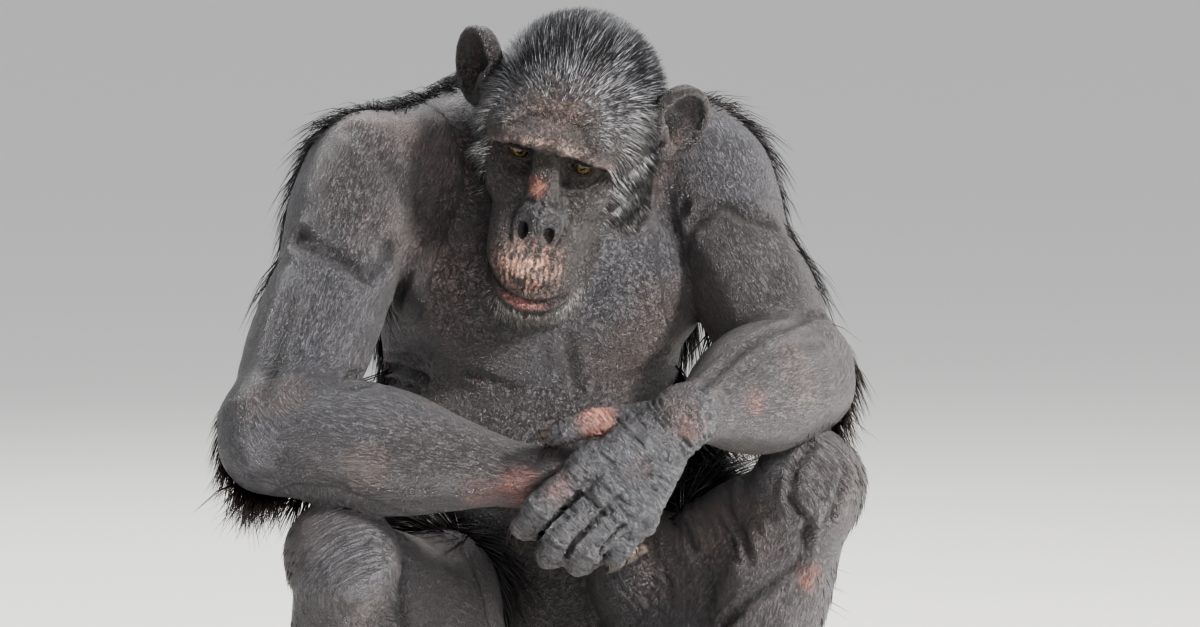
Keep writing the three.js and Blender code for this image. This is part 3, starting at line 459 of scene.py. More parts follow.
# %% Net of the surface
def surface_net(field, lo, hi, step):
    count = np.ceil((hi - lo) / step).astype(int) + 1
    axis = [lo[i] + step * np.arange(count[i]) for i in range(3)]
    values = np.empty(count, np.float32)
    for i in range(0, count[0], 16):  # in slices, so that little memory is needed
        gx, gy, gz = np.meshgrid(axis[0][i:i + 16], axis[1], axis[2], indexing="ij")
        values[i:i + 16] = field(gx.ravel(), gy.ravel(), gz.ravel()).reshape(gx.shape)
    cells = np.array(count) - 1

    def cell_beside(idx, one, two, back_one, back_two):
        c = idx.copy()
        c[:, one] -= back_one
        c[:, two] -= back_two
        return c, (c >= 0).all(1) & (c < cells).all(1)

    total = np.zeros((*cells, 3), np.float32)
    hits = np.zeros(cells, np.int16)
    crossings = []
    for ax in range(3):
        a = np.take(values, range(0, count[ax] - 1), ax)
        b = np.take(values, range(1, count[ax]), ax)
        cut = (a < 0) != (b < 0)
        idx = np.argwhere(cut)
        crossings.append((idx, values[tuple(idx.T)] < 0))
        at = idx.astype(np.float32)
        at[:, ax] += (a[cut] / (a[cut] - b[cut])).astype(np.float32)
        one, two = [k for k in range(3) if k != ax]
        for corner in ((0, 0), (0, 1), (1, 0), (1, 1)):
            c, ok = cell_beside(idx, one, two, *corner)
            np.add.at(total, tuple(c[ok].T), at[ok])
            np.add.at(hits, tuple(c[ok].T), 1)
    used = hits > 0
    number = np.full(cells, -1)
    number[used] = np.arange(used.sum())
    points = lo + step * total[used] / hits[used][:, None]
    quads = []
    for ax, (idx, solid) in enumerate(crossings):
        one, two = (ax + 1) % 3, (ax + 2) % 3
        corners = [cell_beside(idx, one, two, *corner) for corner in ((0, 0), (1, 0), (1, 1), (0, 1))]
        ok = np.all([fits for _, fits in corners], 0)
        q = np.stack([number[tuple(c[ok].T)] for c, _ in corners], 1)
        q[~solid[ok]] = q[~solid[ok]][:, ::-1]
        quads.append(q)
    return points, np.concatenate(quads)

STEP = 3.4
box_lo, box_hi = around([p[0] for p in parts.values()], 8)
points, quads = surface_net(flesh, box_lo, box_hi, STEP)
tris = np.concatenate([quads[:, [0, 1, 2]], quads[:, [0, 2, 3]]])
print("net of", len(points), "points and", len(tris), "triangles")

# %% [markdown]
# ## Finer where it matters
# A face, a hand and a foot need a closer net than a back does. Every edge whose two ends lie in the
# wanted place is halved, and each triangle is split to suit, so that no crack opens at the border of the
# fine region.

# %% Refine and settle on the surface
def refined(points, tris, wanted):
    mark = wanted[tris]
    edges = np.stack([tris[:, [0, 1, 2]], tris[:, [1, 2, 0]]], 2).reshape(-1, 2)
    split = (mark & mark[:, [1, 2, 0]]).reshape(-1)
    key = np.sort(edges, 1)
    code = key[:, 0].astype(np.int64) * len(points) + key[:, 1]
    picked, place = np.unique(code[split], return_inverse=True)
    new = (points[picked // len(points)] + points[picked % len(points)]) / 2
    mid = np.full(len(code), -1)
    mid[split] = place + len(points)
    mid = mid.reshape(-1, 3)
    n = (mid >= 0).sum(1)
    out = [tris[n == 0]]
    a, m = tris[n == 3], mid[n == 3]
    out += [np.stack([a[:, 0], m[:, 0], m[:, 2]], 1), np.stack([m[:, 0], a[:, 1], m[:, 1]], 1),
            np.stack([m[:, 2], m[:, 1], a[:, 2]], 1), m]
    for turn in range(3):
        t, e = np.roll(tris, -turn, 1), np.roll(mid, -turn, 1)
        one = (n == 1) & (e[:, 0] >= 0)
        out.append(np.stack([t[one, 0], e[one, 0], t[one, 2]], 1))
        out.append(np.stack([e[one, 0], t[one, 1], t[one, 2]], 1))
    return np.concatenate([points, new]), np.concatenate(out)

def gradient(p, h=0.4):
    x, y, z = p.T
    base = flesh(x, y, z)
    g = np.stack([flesh(x + h, y, z) - base, flesh(x, y + h, z) - base, flesh(x, y, z + h) - base], 1) / h
    return base, g

def settle(p, rounds=2):
    for _ in range(rounds):
        d, g = gradient(p)
        step = -(d / np.maximum((g * g).sum(1), 0.25))[:, None] * g
        size = np.linalg.norm(step, axis=1, keepdims=True)
        p = p + step * np.minimum(1, 2.5 / np.maximum(size, 1e-9))
    return p

def near_part(p, *names, reach=4):
    hit = np.zeros(len(p), bool)
    for n in names:
        f = parts[n][0]
        m = ((p > f.lo - reach) & (p < f.hi + reach)).all(1)
        hit[m] |= f.at(*p[m].T) < reach
    return hit

def on_head(p):
    return (p - HEAD) @ HEAD_AXES.T

FINE_PARTS = ("head", "ear_right", "ear_left", "hand_right", "hand_left", "foot_right", "foot_left")
points, tris = refined(points, tris, near_part(points, *FINE_PARTS))
points = settle(points)
local = on_head(points)
points, tris = refined(points, tris, near_part(points, "head") & (local[:, 1] < -20))
points = settle(points, 1)
print("fine net of", len(points), "points and", len(tris), "triangles")

# %% [markdown]
# ## Noise and soft masks
# Nothing on living skin repeats. A lattice of random numbers, smoothed between its corners, gives gentle
# noise at any size, and a soft mask tells how strongly a place belongs to a region, so that every change
# fades out.

# %% Noise and masks
SIDE = 64  # corners along each side of the lattice
LATTICE = np.random.default_rng(7).random((SIDE, SIDE, SIDE)).astype(np.float32)

def noise(p, size, seed=0):
    q = p / size + seed * 7.37
    i = np.floor(q).astype(int)
    f = q - i
    f = f * f * (3 - 2 * f)
    total = 0
    for k in range(8):
        corner = np.array([k >> 2 & 1, k >> 1 & 1, k & 1])
        w = np.where(corner, f, 1 - f)
        j = (i + corner) % SIDE
        total = total + w[:, 0] * w[:, 1] * w[:, 2] * LATTICE[j[:, 0], j[:, 1], j[:, 2]]
    return 2 * total - 1

def soft(value, low, high):
    t = np.clip((value - low) / (high - low), 0, 1)
    return t * t * (3 - 2 * t)

def ball(p, centre, radius):
    return soft(-np.linalg.norm((p - centre) / radius, axis=1), -1, -0.35)

def ridges(p, size, seed=0):
    return 1 - np.abs(noise(p, size, seed)) * 2

print("noise at three points", noise(np.eye(3) * 30, 20).round(2))

# %% [markdown]
# ## Reading places off the picture
# The folds and marks are found where they are seen: a ray is sent from the camera through a pixel of the
# 1200 by 627 frame, and the place where it meets the body is the place of the mark.

# %% From a pixel to the body
WIDE, HIGH = 1200, 627
TARGET = vec(46.5, -175, 446)
DISTANCE, RISE, LENS, SENSOR = 5650, math.radians(4), 200, 36
VIEW_FROM = TARGET + DISTANCE * vec(0, -math.cos(RISE), math.sin(RISE))
VIEW_UP = vec(0, math.sin(RISE), math.cos(RISE))
body_tree = BVHTree.FromPolygons(points.tolist(), tris.tolist())

def first_hit(start, way):
    hit = body_tree.ray_cast(Vector(start), Vector(way))[0]
    return None if hit is None else np.array(hit)

def seen(px, py):
    span = SENSOR / LENS / WIDE
    right = vec(1, 0, 0) * (px - WIDE / 2) * span
    return first_hit(VIEW_FROM, (TARGET - VIEW_FROM) / DISTANCE + right - VIEW_UP * (py - HIGH / 2) * span)

def seen_line(*pixels, step=6):
    places = []
    for (x0, y0), (x1, y1) in zip(pixels, pixels[1:]):
        n = max(1, int(math.hypot(x1 - x0, y1 - y0) / step))
        places += [seen(x0 + (x1 - x0) * i / n, y0 + (y1 - y0) * i / n) for i in range(n)]
    places.append(seen(*pixels[-1]))
    return [q for q in places if q is not None]

def seen_ball(p, px, py, radius):
    place = seen(px, py)
    return np.zeros(len(p)) if place is None else ball(p, place, radius)

print("the sternum lies at", seen(571, 360))

# %% [markdown]
# ## Folds of the skin
# Old, bare skin folds at every joint. A sculptor would cut the folds by hand; here each fold is a line on
# the body that pulls nearby points in, with a low roll of skin on either side of it.

# %% Folds
def surface_normals(points, tris):
    n = np.cross(points[tris[:, 1]] - points[tris[:, 0]], points[tris[:, 2]] - points[tris[:, 0]])
    out = np.zeros_like(points)
    for k in range(3):
        np.add.at(out, tris[:, k], n)
    return unit_rows(out)

JUMP = 60  # two hits further apart than this lie on different limbs

def line_distance(p, line):
    best = np.full(len(p), 1e3)
    for a, b in zip(line, line[1:]):
        if np.linalg.norm(b - a) <= JUMP:
            best = np.minimum(best, to_line(p, a, b)[1])
    return best

def fold(move, p, line, depth, width):
    if len(line) < 2:
        return
    reach = 4 * width
    lo, hi = np.min(line, 0) - reach, np.max(line, 0) + reach
    m = ((p > lo) & (p < hi)).all(1)
    x = line_distance(p[m], line) / width
    move[m] += depth * (0.45 * np.exp(-((x - 1.9) / 0.8) ** 2) - np.exp(-x * x))

FOLDS = [  # pixels along the fold, depth and width in millimetres
    (((345, 378), (372, 368), (400, 366), (426, 378)), 4.4, 3.6),
    (((352, 388), (386, 380), (418, 390)), 2.2, 3.0),
    (((372, 356), (396, 352), (420, 360)), 1.8, 3.0),
    (((700, 388), (735, 356), (768, 334), (812, 316), (836, 316)), 3.4, 4.5),
    (((742, 372), (782, 352), (822, 345)), 1.5, 3.5),
    (((567, 338), (571, 362), (576, 384)), 2.6, 6.0),
    (((470, 372), (500, 386), (548, 388)), 1.8, 5.0),
    (((596, 388), (634, 376), (664, 352)), 1.8, 5.0),
    (((684, 206), (690, 240), (682, 262)), 1.2, 5.0),
    (((405, 560), (401, 592), (404, 627)), 2.6, 5.0),
    (((808, 528), (800, 560), (775, 582), (745, 604), (722, 626)), 5.4, 4.5),
    (((812, 444), (794, 468), (790, 498), (808, 520)), 3.6, 4.0),
    (((828, 520), (838, 500), (846, 470)), 2.2, 4.0),
    (((792, 500), (806, 540), (800, 585)), 2.0, 5.0),
    (((668, 508), (706, 560), (716, 600)), 1.8, 6.0),
    (((646, 522), (668, 570), (676, 618)), 1.5, 5.0),
    (((720, 480), (742, 520), (748, 566)), 1.6, 6.0),
    (((372, 236), (402, 262), (398, 300)), 2.0, 7.0),
    (((352, 130), (384, 158), (402, 196)), 1.6, 8.0),
    (((706, 176), (742, 212), (756, 248)), 1.6, 8.0),
    (((390, 246), (384, 264), (366, 277), (346, 262), (322, 248), (300, 238)), 4.2, 8.0),
    (((292, 300), (280, 352), (266, 392)), 2.2, 8.0),
    (((696, 222), (720, 204), (742, 214), (764, 224)), 3.6, 7.0),
    (((766, 222), (778, 258), (778, 300)), 2.0, 9.0),
]
WRIST_FOLDS = [((650 + 9 * i, 398 + 3 * i), (668 + 7 * i, 424 + 2 * i), (690 + 3 * i, 447 + i))
               for i in range(6)]

normals = surface_normals(points, tris)
move = np.zeros(len(points))
for line, depth, width in FOLDS:
    fold(move, points, seen_line(*line), depth, width)
for line in WRIST_FOLDS:
    fold(move, points, seen_line(*line, step=4), 1.2, 1.7)
print("deepest fold", move.min().round(2), "mm")

# %% [markdown]
# ## The face up close
# A chimpanzee's face is all folds: pleats across the brow, bags under the eyes, creases down the upper
# lip. They are made in the frame of the head, each kind by its own ripple in its own region.

# %% Wrinkles of the face
def front_of_head(p, h, start, half, reach):
    x, y, z = h.T
    inside = (np.abs(x) < half) * (z > -140) * (z < 100)
    return soft(-y, start, 60) * inside * near_part(p, "head", reach=reach)

def bell(x, middle, width):
    return np.exp(-((x - middle) / width) ** 2)

def brow_crest(x):
    return 48 - 0.0082 * x * x

FLATTER = vec(1, 1, 0.5)  # draws noise out up and down

def lip_pleats(h):
    return 0.5 + 0.5 * np.sin((h[:, 0] + 2 * noise(h, 11, 3) + 1.5 * noise(h * FLATTER, 6, 17)) * 1.35)

h = on_head(points)
x, y, z = h.T
wide = np.abs(x)
front = front_of_head(points, h, 30, 75, 3)
wobble = noise(h, 11, 3) * 2.2

def region(centre, radii):
    return ball(h, vec(*centre), vec(*radii)) * front

above = z - brow_crest(x)
hood = soft(-wide, -60, -50) * front * soft(-y, 50, 64)
move += hood * (4.6 * bell(above, 0, 6) - 2.0 * soft(-wide, -44, -24) * bell(above, 12.5, 3.2))
brow = region((0, -78, 44), (64, 28, 20))
move += brow * (0.5 * np.sin((above + wobble) * 1.3) + 0.8 * ridges(h * FLATTER, 7, 5) - 0.3)
move += brow * 0.7 * np.sin((x + 0.8 * wobble) * 0.62) * bell(above, -2, 7)
move += region((0, -62, 66), (52, 34, 20)) * 0.42 * np.sin((z - 0.0015 * x * x + 0.3 * wobble) * 1.5)
for s in (-1, 1):
    out = np.hypot(x - s * 28, (z - 16) * 1.25)
    bags = soft(-(z - 12), 0, 8) * soft(out, 13, 17) * soft(-out, -36, -24) * front
    move += bags * 0.7 * np.sin((out + 0.5 * wobble) * 1.35)
    move += region((s * 50, -58, 12), (14, 16, 20)) * 0.5 * np.sin((z + 0.4 * (wide - 40) + wobble) * 1.5)
lip = region((MOUTH[0] - 4, -138, -56), (42, 34, 26))
move += lip * (0.9 * lip_pleats(h) + 0.5 * ridges(h * FLATTER, 4.2, 9) - 0.6)
jaw = region((MOUTH[0], -128, -92), (38, 34, 18))
move += jaw * (0.35 * np.sin((x + wobble) * 0.9) + 0.35 * ridges(h, 5, 2))
cheek = np.maximum(region((36, -92, -30), (24, 34, 34)), region((-34, -92, -30), (24, 34, 34)))
slant = h @ np.array([[1, 0, 0.5], [0, 1, 0], [-0.5, 0, 1]]) * vec(1, 0.6, 0.5)
move += cheek * 0.55 * ridges(slant, 7, 4)
nose = region((7, -114, -8), (22, 20, 26))
move += nose * (0.5 * np.sin((x + 0.5 * wobble) * 0.9) * soft(z, -8, 6) - 1.5 * bell(x, 7, 1.8))
for s in (-1, 1):
    wing = bell(np.hypot(x - 7 - s * 7, (z + 17) * 0.8), 16, 2.0) * soft(s * (x - 7), 4, 10)
    move -= 2.4 * wing * front * soft(z, -34, -28)
    under = bell(z - 3 + 0.25 * (wide - 30), 0, 2.4) * soft(wide, 12, 20) * soft(-wide, -56, -44)
    move -= 1.8 * under * front * (x * s > 0)
print("face points", int((front > 0.5).sum()))

# %% [markdown]
# ## Hands, joints and slack skin
# The backs of the hands carry a net of fine creases, with deeper ones across every knuckle. The rest of
# the skin is only uneven, with shallow dents the size of a coin.

# %% Wrinkles of the hands and the body
def across_chain(move, p, joints, depth, width, spread):
    for a, b, c in zip(joints, joints[1:], joints[2:]):
        way = unit(unit(b - a) + unit(c - b))
        away = np.linalg.norm(p - b, axis=1)
        m = away < spread
        along = (p[m] - b) @ way
        cut = bell(along, 0, width) + 0.7 * bell(along, 5, width) + 0.7 * bell(along, -5, width)
        move[m] += depth * soft(-away[m], -spread, -0.6 * spread) * (0.35 - cut)

def creases(move, p, a, b, gap, depth, reach, seed=3):
    way = unit(b - a)
    side = unit(np.cross(way, vec(0, -1, 0.2)))
    axes = np.array([way, side, np.cross(way, side)])
    m = np.linalg.norm(p - (a + b) / 2, axis=1) < reach + np.linalg.norm(b - a) / 2
    q = (p[m] - a) @ axes.T
    near = soft(-to_line(p[m], a, b)[1], -reach, -0.8 * reach)
    for size, part in ((gap, 1), (gap * 0.55, 0.5)):
        n = noise(q * vec(1, 0.28, 0.28) + 0.25 * size * noise(q, size * 2, seed)[:, None], size, seed)
        move[m] += depth * part * near * (0.25 - bell(n, 0, 0.17))

def between(one, two, joints, parts, drop=None):  # the line on the skin in the gap of two fingers or toes
    stops = [(one[k] + two[k]) / 2 for k in joints]
    if drop is not None:
        stops.append(2 * stops[-1] - stops[-2])
    line = []
    for a, b in zip(stops, stops[1:]):
        for i in range(parts):
            q = a + (b - a) * i / parts
            start = VIEW_FROM if drop is None else q + vec(0, 0, drop)
            hit = first_hit(start, q - start)
            if hit is not None and hit[2] > 2:
                line.append(hit)
    return line

for joints in [*FINGERS_LEFT, *FINGERS_RIGHT, THUMB_LEFT, THUMB_RIGHT]:
    across_chain(move, points, joints, 1.3, 1.4, 19)
for joints in FINGERS_LEFT:
    for a, b in zip(joints, joints[1:]):
        creases(move, points, a, b, 6.5, 0.8, 17)
creases(move, points, LEFT.wrist + vec(14, 0, 16), mix(LEFT.wrist, FINGERS_LEFT[1][0], 0.9), 9, 1.4, 42,
        seed=8)
for one, two in zip(FINGERS_LEFT, FINGERS_LEFT[1:]):
    line = between(one, two, (0, 1, 2), 10)
    line = [q for q in line if np.linalg.norm(q - line[0]) < 90]
    for part, depth, width in ((line[:8], 1.0, 3.2), (line[4:], 2.2, 2.2), (line[7:], 2.4, 1.8)):
        fold(move, points, part, depth, width)
for leg in (RIGHT, LEFT):
    outers = foot_chains(leg)[1]
    for one, two in zip(outers, outers[1:]):
        fold(move, points, between(one, two, (1, 2, 3), 5, drop=60), 4.0, 2.4)

NIPPLES = ((478, 382), (637, 360))
for pixel in NIPPLES:
    away = np.linalg.norm(points - seen(*pixel), axis=1)
    move += 2.8 * bell(away, 0, 3.2) + 0.8 * bell(away, 7, 3)
hands = near_part(points, "hand_right", "hand_left", reach=2)
web = (points - LEFT.wrist) @ frame_along(LEFT.wrist, FINGERS_LEFT[1][0], vec(0, -1, 0)).T
move += hands * (0.55 * ridges(web * vec(0.45, 0.45, 1), 4.5, 1) + 0.3 * ridges(web, 6, 2) - 0.3)
body = ~near_part(points, "head", "ear_left", "ear_right", reach=2) & ~hands

# %% [markdown]
# ### Slack skin
# Over the thighs and the bends of the elbows the skin hangs in ripples, and everywhere it is a little
# uneven. The ripples are waves across a direction read off the picture, and three sizes of noise give the
# unevenness.

# %% Slack skin
RIPPLES = (  # pixel, radius, direction across the ripples, distance between two and depth
    (700, 545, 66, 0.93, 0.36, 10.5, 1.7), (740, 520, 50, 0.90, 0.42, 14, 1.5),
    (640, 590, 48, 0.75, 0.66, 8, 1.2), (672, 420, 38, 0.8, 0.6, 6.5, 0.5),
    (780, 350, 48, -0.5, 0.85, 12, 0.5), (392, 372, 45, -0.3, 0.95, 12, 0.7),
    (345, 420, 60, -0.2, 0.98, 15, 0.6), (380, 600, 55, 0.95, 0.2, 14, 0.8),
)
for px, py, radius, dx, dz, period, depth in RIPPLES:
    phase = (points[:, 0] * dx + points[:, 2] * dz + 3.4 * noise(points, 24, 6)) * 2 * math.pi / period
    near = body * seen_ball(points, px, py, radius * vec(1, 1.6, 1))
    move += near * depth * np.minimum(np.sin(phase), 0.3) * (0.7 + 0.6 * noise(points, 30, 7))
move += body * (1.2 * noise(points, 70, 1) + 0.7 * noise(points, 26, 2) + 0.35 * noise(points, 11, 3))
points = points + normals * (move * soft(points[:, 2], 0.5, 9))[:, None]  # soles stay flat on the floor
points[:, 2] = np.maximum(points[:, 2], 0)
print("skin moved by", move.min().round(2), "to", move.max().round(2), "mm")

# %% [markdown]
# ## Colour of the skin
# The skin is dark grey with a warm cast, pinker on the lips and lids and where the sun has peeled it.
# Painted shade makes it nearly black in the folds, the eye sockets, under the brow, in the ear hollows, over
# the lap and on the right hand, which lies behind the left, and a painted highlight lies on the crest of the
# brow. The colours are worked out once for every point, so that hair can use the same markings.

# %% Tones
SUN_SPOTS = (  # pixel, radius in millimetres and strength
    (520, 492, 30, 0.75), (556, 488, 22, 0.7), (480, 496, 24, 0.4), (692, 430, 20, 0.5),
    (756, 402, 18, 0.6), (810, 578, 18, 0.7), (776, 150, 16, 0.4), (640, 470, 16, 0.4),
)

def skin_tone(p, fold_depth):
    h = on_head(p)
    x, y, z = h.T
    wide = np.abs(x)
    face = front_of_head(p, h, 24, 78, 6)
    tone = np.array([0.054, 0.048, 0.051]) * (
        1 + 0.16 * noise(p, 45, 4) + 0.12 * noise(p, 14, 5) + 0.10 * noise(p, 5, 6))[:, None]

    def paint(colour, amount):
        nonlocal tone
        a = np.clip(amount, 0, 1)[:, None]
        tone = tone * (1 - a) + np.array(colour) * a

    paint((0.060, 0.064, 0.078), 0.5 * soft(noise(p, 80, 8), -0.1, 0.6))
    paint((0.100, 0.070, 0.060), 0.45 * soft(noise(p, 60, 12), 0.1, 0.7))
    speckle = 0.6 + 0.6 * noise(p, 7, 13)
    for px, py, radius, amount in SUN_SPOTS:
        paint((0.20, 0.075, 0.060), amount * seen_ball(p, px, py, radius) * speckle)
    paint((0.038, 0.031, 0.030), 0.9 * face)
    above = z - brow_crest(x)
    # painted shade: a dark band under the crest of the brow, where the ridge shades the eyes, and a dark line
    # in the groove behind the crest
    paint((0.020, 0.015, 0.011), face * bell(above, -18, 10) * soft(-wide, -56, -46) * 0.9)
    paint((0.022, 0.016, 0.014), face * bell(above, 13, 4) * soft(-wide, -50, -30) * 0.6)
    # painted highlight: the crest of the brow is painted lighter, in patches, where the ridge meets the light
    brow_highlight_share = 0.6 + 0.7 * noise(h, 5, 3)
    paint((0.19, 0.13, 0.115), face * bell(above, 1, 6.5) * soft(-wide, -62, -50) * brow_highlight_share)
    mottle = 0.9 * lip_pleats(h) + noise(h * vec(1, 1, 0.6), 3.2, 9) + 0.6 * noise(h, 9, 2)
    for colour, centre, radii, amount in (
        ((0.30, 0.12, 0.075), (-2, -104, 11), (13, 22, 12), 0.6),
        ((0.048, 0.048, 0.054), (7, -114, -12), (28, 24, 24), 0.9),
        ((0.075, 0.048, 0.041), (0, -70, 66), (40, 30, 18), 0.7),
        ((0.46, 0.27, 0.21), (MOUTH[0] - 5, -134, -50), (42, 40, 30), 0.08 + 0.85 * soft(mottle, 0, 0.9)),
        ((0.075, 0.05, 0.045), (MOUTH[0], -144, -71), (46, 24, 8), 0.75),
        ((0.30, 0.13, 0.12), (MOUTH[0] - 4, -140, -82), (32, 26, 6), 0.85),
        ((0.15, 0.12, 0.085), (MOUTH[0] + 2, -124, -104), (34, 34, 16), 0.8),
        # painted shade: both eye sockets under the brow are painted nearly black
        ((0.022, 0.015, 0.012), (-28, -74, 14), (25, 24, 22), 0.95),
        ((0.022, 0.015, 0.012), (28, -74, 14), (25, 24, 22), 0.95),
    ):
        paint(colour, face * ball(h, vec(*centre), vec(*radii)) * amount)
    for side, name in ((-1, "ear_right"), (1, "ear_left")):
        centre, axes = ear_frame(side)
        up, away, depth = ((p - centre) @ axes.T).T
        ear = near_part(p, name, reach=3)
        cup = soft(-np.hypot(up / 30, away / 22), -1, -0.6) * soft(depth, -14, 0)
        paint((0.052, 0.027, 0.023), ear * cup * (0.55 + 0.5 * noise(p, 12, 5)))
        paint((0.026, 0.021, 0.021), ear * (1 - cup) * 0.9)
        # painted shade: the hollow in the middle of each ear is painted nearly black
        hollow_shade = soft(-np.hypot((up + 2) / 24, (away + 3) / 18), -1.1, -0.5) * soft(-depth, -6, 4)
        paint((0.008, 0.006, 0.006), ear * hollow_shade * 0.9)
    for joints in FINGERS_LEFT + FINGERS_RIGHT:
        paint((0.17, 0.095, 0.045), ball(p, (joints[-1] + joints[-2]) / 2 + vec(0, 8, 0), 22) * 0.6)
    thumb = ball(p, THUMB_LEFT[2] + vec(4, -6, 2), 22) * (p[:, 1] < THUMB_LEFT[2][1] + 8)
    paint((0.40, 0.16, 0.11), thumb * 0.9)
    left_hand_skin = near_part(p, "hand_left", reach=3)
    paint((0.062, 0.068, 0.080), left_hand_skin * soft(-p[:, 1], 400, 418) * 0.5)
    # painted shadow: the right hand lies behind the left one and is painted darker all over
    paint((0.030, 0.024, 0.020), near_part(p, "hand_right", reach=3) * 0.7)
    for pixel in NIPPLES:
        paint((0.05, 0.035, 0.034), seen_ball(p, *pixel, 9) * 0.9)
    # painted shade: the lap, the lower belly and the inner thighs between the legs are painted nearly black
    lap_shade = ball(p, vec(20, -110, 150), vec(120, 190, 150)) * soft(-p[:, 2], -330, -220)
    paint((0.018, 0.016, 0.016), 0.75 * lap_shade)
    # painted shade in the folds: where the skin was moved inward it is painted darker, on the left hand
    # already in shallow dents
    for share, low, high, where in ((0.6, 0.45, 1.5, left_hand_skin), (0.65, 0.6, 3.2, 1)):
        tone = tone * (1 - share * where * soft(-fold_depth, low, high))[:, None]
    return np.clip(tone, 0.012, 0.75)

tones = skin_tone(points, move)
print("skin tones from", tones.min(0).round(3), "to", tones.max(0).round(3))

# %% [markdown]
# ### The lie of the skin
# The finest lines of bare skin run along or across a limb. A texture that knows only the object's own
# directions would cross them, so every point carries a place measured along its limb, stretched to draw
# the lines out.

# %% Lie of the skin
def lying(a, b, along, across):
    way = unit(b - a)
    side = unit(np.cross(way, vec(0, -1, 0.3)))
    return np.array([way * along, side * across, np.cross(way, side) * across]).T

def grain_place(p):
    grain = p * 0.5
    for joints in (("shoulder", "elbow", "wrist"), ("hip", "knee", "ankle")):
        for one in (RIGHT, LEFT):
            a, b, c = (getattr(one, joint) for joint in joints)
            near, far = to_line(p, a, b)[1], to_line(p, b, c)[1]
            m = np.minimum(near, far) < 78
            w = soft(far - near, -24, 24)[:, None]
            grain[m] = (w * ((p - b) @ lying(a, b, 0.22, 1)) + (1 - w) * ((p - b) @ lying(b, c, 0.2, 1)))[m]
    knuckle = FINGERS_LEFT[1][1]
    start = (LEFT.wrist - LEFT.elbow) @ lying(LEFT.elbow, LEFT.wrist, 0.2, 1)
    away = to_line(p, LEFT.wrist, knuckle)[1]
    w = soft(to_line(p, LEFT.elbow, LEFT.wrist)[1] - away, -18, 18)[:, None]
    hand = start + (p - LEFT.wrist) @ lying(LEFT.wrist, knuckle, 1, 0.25)
    m = (away < 60) & near_part(p, "arm_left", "hand_left", reach=4)
    grain[m] = (w * hand + (1 - w) * grain)[m]
    return grain

grain = grain_place(points)
print("grain runs over", np.ptp(grain, axis=0).round(), "units")

# %% [markdown]
# ## The skin as an object
# The net of points becomes one closed mesh with its colours and its lie. It stands in for all the solid
# flesh, so it could never show a joint between two solids.

# %% Hand the net to Blender
def mesh_object(name, points, faces, tones=None, grain=None):
    mesh = bpy.data.meshes.new(name)
    faces = np.asarray(faces, np.int32)
    n = faces.shape[1]
    mesh.vertices.add(len(points))
    mesh.vertices.foreach_set("co", (np.asarray(points) * MM).astype(np.float32).ravel())
    mesh.loops.add(faces.size)
    mesh.loops.foreach_set("vertex_index", faces.ravel())
    mesh.polygons.add(len(faces))
    mesh.polygons.foreach_set("loop_start", np.arange(0, faces.size, n, dtype=np.int32))
    mesh.polygons.foreach_set("loop_total", np.full(len(faces), n, np.int32))
    mesh.update(calc_edges=True)
    if tones is not None:
        layer = mesh.color_attributes.new("tone", "FLOAT_COLOR", "POINT")
        layer.data.foreach_set("color", np.c_[tones, np.ones(len(tones))].astype(np.float32).ravel())
    if grain is not None:
        layer = mesh.attributes.new("grain", "FLOAT_VECTOR", "POINT")
        layer.data.foreach_set("vector", grain.astype(np.float32).ravel())
    mesh.shade_smooth()
    return in_scene(bpy.data.objects.new(name, mesh))

def in_scene(obj):
    bpy.context.scene.collection.objects.link(obj)
    return obj

skin = mesh_object("skin", points, tris, tones, grain)
FLESH_NODES = [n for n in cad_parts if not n.startswith("eye_")]
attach(skin, "root")
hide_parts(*FLESH_NODES)
print("skin replaces", len(FLESH_NODES), "nodes")

# %% [markdown]
# ## Finish of the skin
# Bare skin is leathery: small pores and a net of fine lines, with painted shade that makes the lines and
# cracks darker, and a soft gloss where it is stretched. The fine lines are too small for the net of points,
# so they are bump in the material.

# %% Skin material
class Nodes:
    def __init__(self, name):
        self.material = bpy.data.materials.new(name)
        self.material.use_nodes = True
        self.tree = self.material.node_tree
        self.shader = self.tree.nodes["Principled BSDF"]

    def put(self, socket, value):
        if isinstance(value, bpy.types.NodeSocket):
            self.tree.links.new(value, socket)
        else:
            socket.default_value = value

    def add(self, kind, out=0, **values):
        node = self.tree.nodes.new("ShaderNode" + kind)
        for key, value in values.items():
            if hasattr(node, key) and not key[0].isupper():
                setattr(node, key, value)
            else:
                self.put(node.inputs[key.replace("_", " ")], value)
        return node.outputs[out]

    def place(self):
        return self.add("TexCoord", "Object")

    def noise(self, place, scale, detail, rough=0.5):
        return self.add("TexNoise", Vector=place, Scale=scale, Detail=detail, Roughness=rough)

    def math(self, operation, first, *others):
        for value in others:
            node = self.tree.nodes.new("ShaderNodeMath")
            node.operation = operation
            self.put(node.inputs[0], first)
            self.put(node.inputs[1], value)
            first = node.outputs[0]
        return first

    def spread(self, value, low, high, to_low=0, to_high=1):
        node = self.tree.nodes.new("ShaderNodeMapRange")
        for socket, v in zip(node.inputs, (value, low, high, to_low, to_high)):
            self.put(socket, v)
        return node.outputs[0]

    def mixed(self, kind, amount, a, b):
        node = self.tree.nodes.new("ShaderNodeMix")
        node.data_type, node.blend_type = "RGBA", kind
        for k, v in ((0, amount), (6, a), (7, b)):
            self.put(node.inputs[k], v)
        return node.outputs[2]

    def shaded(self, shade):  # the colour that each point carries, made lighter or darker
        tone = self.add("Attribute", "Color", attribute_name="tone")
        return self.mixed("MULTIPLY", 1.0, tone, self.add("CombineColor", Red=shade, Green=shade, Blue=shade))

    def finish(self, **values):
        for key, value in values.items():
            self.put(self.shader.inputs[key.replace("_", " ")], value)
        return self.material

